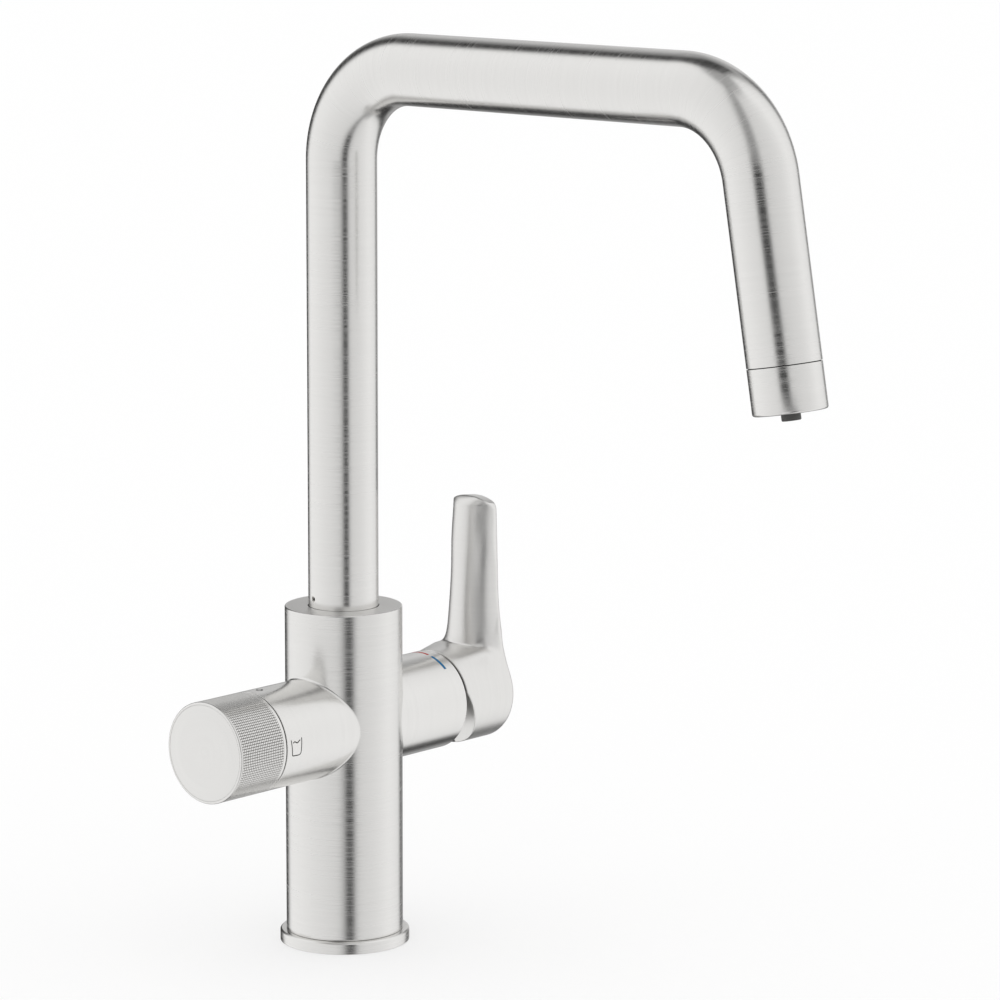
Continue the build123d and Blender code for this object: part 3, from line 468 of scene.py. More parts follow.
@dataclass(frozen=True)
class Studio:
    """A pale room with a long soft light on each side and narrow dark flags between them."""

    yaw: float = 48.9734
    room: float = 0.42
    screens: tuple[Screen, ...] = (
        Screen((-150, 139.5), (-78, 74), 0.0, 7),              # the long light round the front
        Screen((-162, -133), (-5, 76), 0.02, 10),              # gap at its left end
        Screen((-173, -141), (-66, 2), 0.04, 9),
        Screen((-24, 3), (-2.6, 84), 0.31, 9, 1.5),              # gap at the camera, seen from the outlet
        Screen((-24, 2), (-2.4, 13), 0.0001, 7, 1.5),
        Screen((2, 22), (-84, -36), 0.2, 7),                   # the same gap, seen from the riser and the body
        Screen((-3, 22), (-46, -1), 0.5, 8, 3),
        Screen((4.3, 20.8), (-44, -1), 0.02, 4, 3),
        Screen((146, 159), (12, 36), 0.1),                     # gap at its right end
        Screen((143, 153), (-12, 12), 0.15),
        Screen((143, 158), (-40, -10), 0.1, 5),
        Screen((158, 190), (-8, 30), 0.72, 5),                 # bright wall behind
        Screen((-190, -170), (1.5, 33), 0.62),
        Screen((150, 190), (48, 77), 0.04, 5),                 # dark above and below that wall
        Screen((-190, -150), (51, 77), 0.04, 5),
        Screen((142, 190), (-80, -36), 0.04, 6),
        Screen((-190, -175), (-68, -42), 0.04, 5),
    )

    def build(self) -> None:
        """Build the surroundings as the world's shader, and the floor."""
        world = bpy.data.worlds.new("studio")
        bpy.context.scene.world = world
        world.use_nodes = True
        tree = world.node_tree
        tree.nodes.clear()
        way = add_node(tree, "ShaderNodeTexCoord").outputs["Generated"]
        yaw = math.radians(self.yaw)
        to_camera = (-math.sin(yaw), -math.cos(yaw), 0.0)
        right = (math.cos(yaw), -math.sin(yaw), 0.0)
        near = add_node(tree, "ShaderNodeVectorMath", {0: way, 1: to_camera}, operation="DOT_PRODUCT")
        side = add_node(tree, "ShaderNodeVectorMath", {0: way, 1: right}, operation="DOT_PRODUCT")
        height = add_node(tree, "ShaderNodeSeparateXYZ", {0: way})
        turn = add_node(tree, "ShaderNodeMath", {0: side.outputs["Value"], 1: near.outputs["Value"]}, operation="ARCTAN2")
        azimuth = add_node(tree, "ShaderNodeMath", {0: turn.outputs[0]}, operation="DEGREES").outputs[0]
        rise = add_node(tree, "ShaderNodeMath", {0: height.outputs[2]}, operation="ARCSINE")
        elevation = add_node(tree, "ShaderNodeMath", {0: rise.outputs[0]}, operation="DEGREES").outputs[0]
        glow = self.glow(tree, azimuth)
        level: Any = self.room
        for screen in self.screens:
            mask = self.mask(tree, screen, azimuth, elevation)
            level = add_node(tree, "ShaderNodeMix", {0: mask, 2: level, 3: screen.level or glow}).outputs[0]
        rays = add_node(tree, "ShaderNodeLightPath")
        seen = add_node(tree, "ShaderNodeMath", {
            0: rays.outputs["Is Camera Ray"], 1: rays.outputs["Is Diffuse Ray"]}, operation="MAXIMUM")
        shown = add_node(tree, "ShaderNodeMix", {0: seen.outputs[0], 2: level, 3: 1.0})
        light = add_node(tree, "ShaderNodeBackground", {"Color": (1, 1, 1, 1), "Strength": shown.outputs[0]})
        add_node(tree, "ShaderNodeOutputWorld", {0: light.outputs[0]})
        self.floor()

    def glow(self, tree: bpy.types.NodeTree, azimuth: bpy.types.NodeSocket) -> bpy.types.NodeSocket:
        """The lights' own brightness, which falls off towards the camera."""
        ramp = add_node(tree, "ShaderNodeMapRange", {0: azimuth, 1: -180.0, 2: 180.0})
        curve = add_node(tree, "ShaderNodeValToRGB", {0: ramp.outputs[0]})
        stops = ((-150, 0.95), (-120, 1.01), (-90, 0.97), (-60, 0.9), (-25, 0.83), (0, 0.8), (25, 0.78), (60, 0.85), (100, 1.0), (138, 0.9))
        elements = curve.color_ramp.elements
        while len(elements) > 1:
            elements.remove(elements[-1])
        for number, (place, level) in enumerate(stops):
            share = (place + 180) / 360
            element = elements[0] if number == 0 else elements.new(share)
            element.position = share
            element.color = (level, level, level, 1)
        return curve.outputs[0]

    def mask(self, tree: bpy.types.NodeTree, screen: Screen, azimuth: bpy.types.NodeSocket,
             elevation: bpy.types.NodeSocket) -> bpy.types.NodeSocket:
        """Where one screen shows, from 0 to 1."""
        mask = None
        for value, (low, high), soft in (
                (azimuth, screen.azimuths, screen.soft), (elevation, screen.elevations, screen.fade)):
            for edge, way in ((low, 1), (high, -1)):
                step = add_node(tree, "ShaderNodeMapRange", {
                    0: value, 1: edge - way * soft, 2: edge + way * soft}, interpolation_type="SMOOTHSTEP")
                if mask is None:
                    mask = step.outputs[0]
                else:
                    mask = add_node(tree, "ShaderNodeMath", {0: mask, 1: step.outputs[0]}, operation="MULTIPLY").outputs[0]
        return mask

    def floor(self) -> bpy.types.Object:
        """Lay a plain pale floor that keeps the object's shadow."""
        deselect_all()
        bpy.ops.mesh.primitive_plane_add(size=60, location=(0, 0, -0.1 * MM))
        floor = bpy.context.object
        floor.name = "floor"
        floor.visible_glossy = False
        made = bpy.data.materials.new("pale_floor")
        made.use_nodes = True
        tree = made.node_tree
        tree.nodes.clear()
        matt = add_node(tree, "ShaderNodeBsdfDiffuse", {"Color": (0.5, 0.5, 0.5, 1)})
        rays = add_node(tree, "ShaderNodeLightPath")
        lift = add_node(tree, "ShaderNodeMath", {0: rays.outputs["Is Camera Ray"], 1: 0.51}, operation="MULTIPLY")
        pale = add_node(tree, "ShaderNodeEmission", {"Strength": lift.outputs[0]})
        both = add_node(tree, "ShaderNodeAddShader", {0: matt.outputs[0], 1: pale.outputs[0]})
        add_node(tree, "ShaderNodeOutputMaterial", {0: both.outputs[0]})
        dress(floor, made)
        return floor


@dataclass(frozen=True)
class BaseRing:
    """The ring that covers the hole in the deck."""

    outer: float = 26.05
    inner: float = 21.05
    height: float = 4.8
    edge: float = 0.6
    groove: tuple[Point, Point] = ((22.37, 0.0), (24.68, 1.65))

    def build(self) -> bpy.types.Object:
        """Turn the ring, with its gasket's groove underneath.

        Returns:
            The ring.
        """
        (near, foot), (far, roof) = self.groove
        profile = [
            (self.inner, foot), (near, foot), (near, roof), (far, roof), (far, foot), (self.outer, foot),
            (self.outer, self.height - self.edge), (self.outer - self.edge, self.height), (self.inner, self.height),
        ]
        ring = turned("base_ring_turned", rounded_profile(profile, {5: 0.2, 6: 0.25, 7: 0.25}), Axis.COLUMN)
        brushed_round(ring, Axis.COLUMN)
        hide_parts("base_ring")
        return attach(ring, Body.FIXED.value)


@dataclass(frozen=True)
class TapBody:
    """The column with its two arms, bored as the real casting is."""

    radius: float = 23.5
    foot_radius: float = 21.0
    foot: float = 4.87
    top: float = 137.3
    top_edge: float = 0.5
    socket_radius: float = 14.3
    socket_floor: float = 127.3
    spigot_radius: float = 11.05
    spigot_end: float = 99.8
    knob_arm: float = 53.7
    lever_arm: float = 51.75
    arm_edge: float = 0.25
    knob_bores: tuple[Point, ...] = ((10.5, 22.0), (10.5, 40.0), (16.5, 40.0))
    lever_bores: tuple[Point, ...] = ((15.05, 22.0), (15.05, 44.0), (17.05, 44.0))
    inlets: tuple[tuple[float, float, float, float], ...] = (
        (11.5, -7.5, 5.0, 12.0), (11.5, 7.5, 5.0, 12.0), (-12.5, 0.0, 5.0, 12.0), (0.0, 13.5, 4.0, 16.0))
    screw: tuple[float, float] = (2.5, 114.3)    # radius and height of the stop screw's hole

    def build(self) -> bpy.types.Object:
        """Turn the column and arms, join them and bore them out.

        Returns:
            The body.
        """
        arm = LAYOUT.arm_radius
        split = (LAYOUT.arm_z - arm - 2, LAYOUT.arm_z + arm + 2)
        profile = [
            (self.foot_radius, 0), (self.foot_radius, self.foot), (self.radius, self.foot), (self.radius, split[0]),
            (self.radius, split[1]), (self.radius, self.top), (self.socket_radius, self.top)]
        rounded = rounded_profile(profile, {2: 0.2, 5: self.top_edge}, 5)
        body = turned_solid("body_turned", [*rounded, (self.socket_radius, self.socket_floor)], Axis.COLUMN)
        for name, reach, axis in (("knob_arm", self.knob_arm, Axis.KNOB_ARM), ("lever_arm", self.lever_arm, Axis.LEVER_ARM)):
            ends = rounded_profile([(arm, 0), (arm, reach), (arm / 2, reach)], {1: self.arm_edge}, 4)
            combine(body, turned_solid(name, ends, axis), "UNION")
        combine(body, turned_solid("spigot_bore", [
            (self.spigot_radius, self.spigot_end), (self.spigot_radius, self.top)], Axis.COLUMN, 96), "DIFFERENCE")
        for bores, reach, axis in ((self.knob_bores, self.knob_arm, Axis.KNOB_ARM), (self.lever_bores, self.lever_arm, Axis.LEVER_ARM)):
            combine(body, turned_solid("arm_bore", [*bores, (bores[-1][0], reach + 1)], axis, 96), "DIFFERENCE")
        for x, y, radius, depth in self.inlets:
            drill = turned_solid("inlet", [(radius, -1), (radius, depth)], Axis.COLUMN, 48)
            drill.data.transform(Matrix.Translation((x * MM, y * MM, 0)))
            combine(body, drill, "DIFFERENCE")
        radius, height = self.screw
        drill = turned_solid("screw_hole", [(radius, self.spigot_radius - 1), (radius, self.radius + 1)], Axis.COLUMN, 48)
        drill.data.transform(Matrix.Translation((0, 0, height * MM)) @ Matrix.Rotation(math.radians(-90), 4, "X"))
        combine(body, drill, "DIFFERENCE")
        self.brush(body)
        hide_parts("body_casting")
        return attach(body, Body.FIXED.value)

    def surface_axis(self, face: bpy.types.MeshPolygon) -> Axis:
        """The line that a face of the joined body was turned about."""
        middle, normal = face.center / MM, face.normal
        if abs(normal.x) > 0.99 or abs(middle.x) > self.radius:
            return Axis.KNOB_ARM if middle.x < 0 else Axis.LEVER_ARM
        up = Vector((0, middle.y, middle.z - LAYOUT.arm_z))
        on_arm = abs(up.length - LAYOUT.arm_radius) < 0.05 and abs(up.normalized().dot(normal)) > 0.999
        if on_arm and abs(normal.z) > 0.001:
            return Axis.KNOB_ARM if middle.x < 0 else Axis.LEVER_ARM
        return Axis.COLUMN

    def dress_parts(self, body: bpy.types.Object, arms: bpy.types.Material, top: bpy.types.Material) -> None:
        """Give the arms' faces and the flat top their own finishes."""
        body.data.materials.append(arms)
        body.data.materials.append(top)
        for face in body.data.polygons:
            if self.surface_axis(face) is not Axis.COLUMN:
                face.material_index = 1
            elif face.normal.z > 0.99 and face.center.z > (self.top - 0.1) * MM:
                face.material_index = 2

    def brush(self, body: bpy.types.Object) -> None:
        """Lay the brushing round the column and round each arm, and give the joined faces their true roundness."""
        pick(body)
        bpy.ops.object.shade_smooth_by_angle(angle=math.radians(30))
        mesh = body.data
        layer = mesh.uv_layers.new(name=BRUSHING)
        normals = [Vector(corner.vector) for corner in mesh.corner_normals]
        outside = {Axis.COLUMN: self.radius, Axis.KNOB_ARM: LAYOUT.arm_radius, Axis.LEVER_ARM: LAYOUT.arm_radius}
        for face in mesh.polygons:
            axis = self.surface_axis(face)
            place = LAYOUT.place(axis)
            to_axis = place.inverted()
            middle = to_axis @ face.center
            facing = math.atan2(middle.y, middle.x)
            side_on = abs((to_axis.to_3x3() @ face.normal).z) < 0.001
            for loop in face.loop_indices:
                at = to_axis @ mesh.vertices[mesh.loops[loop].vertex_index].co
                turn = math.atan2(at.y, at.x) - facing
                turn = (turn + math.pi) % math.tau - math.pi + facing
                layer.data[loop].uv = (turn / math.tau, at.z - at.xy.length)
                if side_on and abs(at.xy.length / MM - outside[axis]) < 0.02:
                    normals[loop] = place.to_3x3() @ Vector((at.x, at.y, 0)).normalized()
        mesh.normals_split_custom_set(normals)


@dataclass(frozen=True)
class ArmFillet:
    """The small round that the casting keeps where an arm meets the column."""

    radius: float = 1.0
    steps: int = 6
    sunk: float = 0.3     # how far its hidden sides lie in the metal

    def build(self, axis: Axis) -> bpy.types.Object:
        """Turn a ring, and lay it along the line where the arm and the column meet.

        Args:
            axis: The arm's line.

        Returns:
            The fillet.
        """
        count = self.steps + 4
        name = axis.value.replace(" ", "_") + "_fillet"
        ring = turned(name, [(LAYOUT.arm_radius, step) for step in range(count)], Axis.COLUMN)
        side = -1 if axis is Axis.KNOB_ARM else 1
        mesh = ring.data
        layer = mesh.uv_layers.new(name=BRUSHING)
        for face in mesh.polygons:
            facing = math.atan2(face.center.y, face.center.x)
            for loop in face.loop_indices:
                at = mesh.vertices[mesh.loops[loop].vertex_index].co
                turn = (math.atan2(at.y, at.x) - facing + math.pi) % math.tau - math.pi + facing
                layer.data[loop].uv = (turn / math.tau, at.z / 4)
        for point in mesh.vertices:
            turn = math.atan2(point.co.y, point.co.x)
            point.co = self.spot(turn, round(point.co.z / MM), side) * MM
        with editing(ring):
            bpy.ops.mesh.select_all(action="SELECT")
            bpy.ops.mesh.normals_make_consistent(inside=False)
        bpy.ops.object.shade_smooth_by_angle(angle=math.radians(30))
        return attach(ring, Body.FIXED.value)

    def spot(self, turn: float, step: int, side: int) -> Vector:
        """Where a point of the ring goes.

        Args:
            turn: Radians round the arm, from its top towards the back.
            step: The point's number round the fillet's section.
            side: Which arm, -1 or 1.

        Returns:
            The place in millimetres.
        """
        arm, column, height = LAYOUT.arm_radius, TapBody().radius, LAYOUT.arm_z
        out = Vector((0, math.sin(turn), math.cos(turn)))
        middle = out * (arm + self.radius) + Vector((0, 0, height))
        middle.x = side * math.sqrt((column + self.radius) ** 2 - middle.y ** 2)
        from_column = Vector((middle.x, middle.y, 0)).normalized()
        if step <= self.steps:
            return middle - from_column.slerp(out, step / self.steps) * self.radius
        if step == self.steps + 1:
            return middle - out * (self.radius + self.sunk)
        if step == self.steps + 3:
            return middle - from_column * (self.radius + self.sunk)
        corner = out * arm + Vector((0, 0, height))
        corner.x = side * math.sqrt(column ** 2 - corner.y ** 2)
        return corner - out * self.sunk - Vector((corner.x, corner.y, 0)).normalized() * self.sunk


def apply_modifier(piece: bpy.types.Object, kind: str, **settings: Any) -> None:
    """Give a piece one modifier with its settings, and apply it."""
    pick(piece)
    step = piece.modifiers.new(kind.lower(), kind)
    for name, value in settings.items():
        setattr(step, name, value)
    bpy.ops.object.modifier_apply(modifier=step.name)


def combine(piece: bpy.types.Object, tool: bpy.types.Object, how: str) -> None:
    """Join a tool's solid to a piece, or cut it away.

    Args:
        piece: What is changed.
        tool: The other solid, which is used up.
        how: UNION or DIFFERENCE.
    """
    apply_modifier(piece, "BOOLEAN", operation=how, object=tool, solver="EXACT")
    bpy.data.objects.remove(tool)


@dataclass(frozen=True)
class Spout:
    """The bent tube, its end sleeve and the nozzle in it."""

    wall: float = 1.5
    foot: float = 128.55
    outlet_run: float = 67.6
    screw_z: float = 141.0
    screw_turn: float = 164.4
    screw_radius: float = 1.25
    bend_steps: int = 48
    sleeve: Point = (67.95, 85.4)
    nozzle: Point = (71.3, 88.3)
    washer: Point = (12.25, 13.3)

    def build_tube(self) -> bpy.types.Object:
        """Draw the tube out and spin it round its two bends.

        Returns:
            The tube.
        """
        deselect_all()
        outer, bend, height = LAYOUT.spout_radius, LAYOUT.bend_radius, LAYOUT.spout_height
        bpy.ops.mesh.primitive_circle_add(vertices=AROUND, radius=outer * MM, location=(0, 0, self.foot * MM))
        tube = bpy.context.object
        tube.name = tube.data.name = "spout_bent_tube"
        bpy.ops.object.transform_apply(location=True, rotation=False, scale=False)
        with editing(tube):
            bpy.ops.mesh.select_all(action="SELECT")
            for low, high in ((self.foot, self.screw_z - 4), (self.screw_z - 4, self.screw_z + 4), (self.screw_z + 4, height - bend)):
                bpy.ops.mesh.extrude_region_move(TRANSFORM_OT_translate={"value": (0, 0, (high - low) * MM)})
            self.spin(-bend, 90)
            run = LAYOUT.second_bend_start + bend
            bpy.ops.mesh.extrude_region_move(TRANSFORM_OT_translate={"value": (0, run * MM, 0)})
            self.spin(LAYOUT.second_bend_start, 90 - LAYOUT.lean)
            way = LAYOUT.outlet_way * (self.outlet_run * MM)
            bpy.ops.mesh.extrude_region_move(TRANSFORM_OT_translate={"value": tuple(way)})
            bpy.ops.mesh.select_all(action="SELECT")
            bpy.ops.mesh.remove_doubles(threshold=0.001 * MM)
            bpy.ops.mesh.normals_make_consistent(inside=False)
        apply_modifier(tube, "SOLIDIFY", thickness=self.wall * MM, offset=-1, use_even_offset=True)
        hole = turned_solid("clamp_hole", [(self.screw_radius, outer - 4), (self.screw_radius, outer + 1)], Axis.COLUMN, 48)
        turn = Matrix.Rotation(math.radians(self.screw_turn), 4, "Z") @ Matrix.Rotation(math.radians(90), 4, "Y")
        hole.data.transform(Matrix.Translation((0, 0, self.screw_z * MM)) @ turn)
        combine(tube, hole, "DIFFERENCE")
        pick(tube)
        bpy.ops.object.shade_smooth_by_angle(angle=math.radians(30))
        self.brush(tube)
        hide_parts("spout_tube")
        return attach(tube, Body.SPOUT.value)

    def spin(self, centre_y: float, degrees: float) -> None:
        """Carry the selected rim round a bend."""
        centre = (0, centre_y * MM, (LAYOUT.spout_height - LAYOUT.bend_radius) * MM)
        bpy.ops.mesh.spin(steps=self.bend_steps, angle=-math.radians(degrees), center=centre, axis=(1, 0, 0))

    def along(self, at: Vector) -> tuple[float, float]:
        """How far a point is along the tube, and its turn round it.

        Args:
            at: The point, in millimetres.

        Returns:
            Millimetres along the centreline, and radians round it.
        """
        bend, height = LAYOUT.bend_radius, LAYOUT.spout_height
        middle_z, run_end = height - bend, LAYOUT.second_bend_start
        first = middle_z + bend * math.pi / 2
        if at.z <= middle_z and at.y > -bend:
            return at.z, math.atan2(at.x, at.y)
        if at.y > -bend:
            turn = math.atan2(at.z - middle_z, at.y + bend)
            out = math.hypot(at.z - middle_z, at.y + bend) - bend
            return middle_z + bend * turn, math.atan2(at.x, out)
        if at.y > run_end:
            return first - (at.y + bend), math.atan2(at.x, at.z - height)
        second = first - (run_end + bend)
        past = (at - LAYOUT.bend_end).dot(LAYOUT.outlet_way)
        if past < 0:
            turn = math.atan2(-(at.y - run_end), at.z - middle_z)
            out = math.hypot(at.z - middle_z, at.y - run_end) - bend
            return second + bend * turn, math.atan2(at.x, out)
        out_way = Vector((1, 0, 0)).cross(LAYOUT.outlet_way)
        out = (at - LAYOUT.bend_end).dot(out_way)
        return second + bend * math.radians(90 - LAYOUT.lean) + past, math.atan2(at.x, out)

    def brush(self, tube: bpy.types.Object) -> None:
        """Lay the brushing round the tube all the way along it."""
        mesh = tube.data
        layer = mesh.uv_layers.new(name=BRUSHING)
        for face in mesh.polygons:
            _, facing = self.along(face.center / MM)
            for loop in face.loop_indices:
                place, turn = self.along(mesh.vertices[mesh.loops[loop].vertex_index].co / MM)
                turn = (turn - facing + math.pi) % math.tau - math.pi + facing
                layer.data[loop].uv = (turn / math.tau, place * MM)

    def build_sleeve(self) -> bpy.types.Object:
        """Turn the sleeve that screws on the tube's end.

        Returns:
            The sleeve.
        """
        start, end = self.sleeve
        outer = LAYOUT.spout_radius
        profile = [(12.05, start), (outer, start), (outer, end), (10.9, end), (10.9, end - 1), (11.75, end - 1), (11.75, 77.1), (12.05, 77.1)]
        sleeve = turned("aerator_sleeve_turned", rounded_profile(profile, {1: 0.15, 2: 1.0, 3: 0.2}, 6), Axis.OUTLET)
        brushed_round(sleeve, Axis.OUTLET)
        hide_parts("aerator_sleeve")
        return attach(sleeve, Body.SPOUT.value)

    def build_gap_shade_ring(self) -> bpy.types.Object:
        """Turn the thin dark washer that is seen in the gap above the sleeve: a rubber washer whose darkness also
        paints the shade of that gap.

        Returns:
            The washer.
        """
        low, high = self.outlet_run + 0.03, self.sleeve[0] - 0.03
        near, far = self.washer
        washer = turned("sleeve_washer", [(near, low), (far, low), (far, high), (near, high)], Axis.OUTLET)
        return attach(washer, Body.SPOUT.value)

    def build_nozzle(self) -> bpy.types.Object:
        """Turn the dark nozzle in the middle of the outlet.

        Returns:
            The nozzle.
        """
        start, end = self.nozzle
        profile = [(3.05, start), (3.65, start), (3.65, end), (2.0, end), (2.0, start + 3.05), (3.05, start + 3.05)]
        nozzle = turned("filter_nozzle_turned", rounded_profile(profile, {2: 0.4, 3: 0.25}, 4), Axis.OUTLET, 96)
        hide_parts("filter_nozzle")
        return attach(nozzle, Body.SPOUT.value)


@dataclass(frozen=True)
class FilterKnob:
    """The round knob with its knurled grip and flush cap."""

    start: float = 54.2
    face: float = 79.2
    edge: float = 0.6
    back_edge: float = 0.25
    knurl: Point = (55.7, 78.3)
    knurl_rows: int = 120
    knurl_columns: int = 23
    knurl_depth: float = 0.28
    knurl_slope: float = 0.145   # width of each side of a small square
    floor: float = 19.5
    cap_radius: float = 19.0
    cap_seat: float = 77.05

    def build(self) -> bpy.types.Object:
        """Turn the knob's body.

        Returns:
            The knob.
        """
        outer = LAYOUT.arm_radius
        low, high = self.knurl
        profile = [
            (16.8, self.start), (outer, self.start), (outer, low), (self.floor, low), (self.floor, high), (outer, high),
            (outer, self.face), (19.05, self.face), (19.05, 77.0), (7.0, 77.0), (7.0, 70.0), (2.3, 70.0), (2.3, 66.3),
            (4.05, 66.3), (4.05, 60.0), (16.8, 60.0)]
        radii = {1: self.back_edge, 2: 0.1, 5: 0.1, 6: self.edge, 7: 0.05}
        knob = turned("knob_turned", rounded_profile(profile, radii, 5), Axis.KNOB_ARM)
        brushed_round(knob, Axis.KNOB_ARM)
        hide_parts("filter_knob")
        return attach(knob, Body.KNOB.value)

    def build_knurl(self) -> bpy.types.Object:
        """Turn the grip's band and raise each of its small squares, flat on top.

        Returns:
            The knurled band.
        """
        low, high = self.knurl
        valley = LAYOUT.arm_radius - self.knurl_depth
        steps = [low + (high - low) * step / self.knurl_columns for step in range(self.knurl_columns + 1)]
        profile = [(self.floor, low), *((valley, step) for step in steps), (self.floor, high)]
        band = turned("knob_knurl", profile, Axis.COLUMN, self.knurl_rows)
        with editing(band):
            select_faces(band, lambda middle, normal: middle.xy.length > valley - 0.1 and abs(normal.z) < 0.1)
            bpy.ops.mesh.inset(thickness=self.knurl_slope * MM, depth=self.knurl_depth * MM, use_individual=True)
        placed(band, Axis.KNOB_ARM)
        bpy.ops.object.shade_flat()
        brushed_round(band, Axis.KNOB_ARM)
        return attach(band, Body.KNOB.value)

    def paint_groove_shade(self, band: bpy.types.Object, material: bpy.types.Material) -> None:
        """Give the sides of the small squares a darker, rougher steel: the darker colour is painted shade in the
        knurl's grooves.
        """
        band.data.materials.append(material)
        for face in band.data.polygons:
            outward = Vector((0, face.center.y, face.center.z - LAYOUT.arm_z * MM)).normalized()
            face.material_index = int(face.normal.dot(outward) < 0.95)

    def build_cap(self) -> bpy.types.Object:
        """Turn the cap that closes the knob's face.

        Returns:
            The cap.
        """
        radius = self.cap_radius
        profile = [(radius, self.cap_seat), (radius, self.face), (6.0, self.face), (0.4, self.face)]
        cap = turned_solid("knob_cap_turned", rounded_profile(profile, {1: 0.1}, 4), Axis.KNOB_ARM)
        brushed_round(cap, Axis.KNOB_ARM)
        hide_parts("knob_cap")
        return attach(cap, Body.KNOB.value)


def ramp(value: float, low: float, high: float) -> float:
    """How far a value is from low to high, from 0 to 1."""
    return max(0.0, min(1.0, (value - low) / (high - low)))


@dataclass(frozen=True)
class Lever:
    """The hub that sweeps up into the paddle."""

    grid: float = 0.3          # cell of the even mesh, in millimetres
    foot: float = 111.0        # the paddle stands above this
    face: float = 81.8
    polish: int = 5            # rounds of smoothing all over
    shoulder_polish: int = 60  # and on the hub's shoulders
    flank_polish: int = 240    # and where the paddle's sides run out into the hub
    kept: float = 0.45         # share of the faces kept

    def build(self) -> bpy.types.Object:
        """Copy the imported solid, give it an even mesh and polish its shoulders.

        Returns:
            The lever.
        """
        deselect_all()
        node = bpy.data.objects["lever"]
        made = bpy.data.objects.new("lever_polished", node.data.copy())
        bpy.context.scene.collection.objects.link(made)
        with editing(made):
            bpy.ops.mesh.select_all(action="SELECT")
            bpy.ops.mesh.remove_doubles(threshold=0.005 * MM)
        pick(made)
        apply_modifier(made, "REMESH", mode="VOXEL", voxel_size=self.grid * MM, adaptivity=0.0)
        for name, test, rounds in (
                ("shoulders", self.shoulder, self.shoulder_polish), ("flanks", self.flank, self.flank_polish)):
            group = made.vertex_groups.new(name=name)
            for point in made.data.vertices:
                weight = test(point.co / MM)
                if weight > 0:
                    group.add([point.index], weight, "REPLACE")
            apply_modifier(made, "SMOOTH", factor=0.5, iterations=rounds, vertex_group=name)
        apply_modifier(made, "SMOOTH", factor=0.5, iterations=self.polish)
        apply_modifier(made, "DECIMATE", ratio=self.kept)
        made.vertex_groups.clear()
        bpy.ops.object.shade_smooth()
        self.brush(made)
        log.info("lever faces %d", len(made.data.polygons))
        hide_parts("lever")
        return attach(made, Body.LEVER.value)

    def shoulder(self, at: Vector) -> float:
        """How much a point belongs to the hub's soft shoulders, from 0 to 1."""
        along = ramp(at.x, 55.5, 59) * ramp(at.x, self.face, self.face - 2.5)
        side = ramp(abs(at.y), 2, 7)
        height = ramp(at.z, 97, 102) * ramp(at.z, self.foot + 2, self.foot - 1.5)
        outside = ramp(math.hypot(at.y, at.z - LAYOUT.arm_z), 15.5, 17.5)
        return along * side * height * outside

    def flank(self, at: Vector) -> float:
        """How much a point belongs to the run-out of the paddle's sides, from 0 to 1."""
        side = ramp(abs(at.y), 8, 11) * ramp(abs(at.y), 18, 15)
        return ramp(at.x, 70, 73) * side * ramp(at.z, 98, 102) * ramp(at.z, self.foot + 5, self.foot)

    def brush(self, made: bpy.types.Object) -> None:
        """Lay the brushing round the hub, and across the paddle and the outer face."""
        to_axis = LAYOUT.place(Axis.LEVER_ARM).inverted()
        mesh = made.data
        layer = mesh.uv_layers.new(name=BRUSHING)
        for face in mesh.polygons:
            across = face.center.z > self.foot * MM or face.normal.x > 0.8
            middle = to_axis @ face.center
            facing = math.atan2(middle.y, middle.x)
            for loop in face.loop_indices:
                place = mesh.vertices[mesh.loops[loop].vertex_index].co
                if across:
                    layer.data[loop].uv = (place.y / 0.12, place.z + place.x * 0.1)
                    continue
                at = to_axis @ place
                turn = (math.atan2(at.y, at.x) - facing + math.pi) % math.tau - math.pi + facing
                layer.data[loop].uv = (turn / math.tau, at.z - at.xy.length)


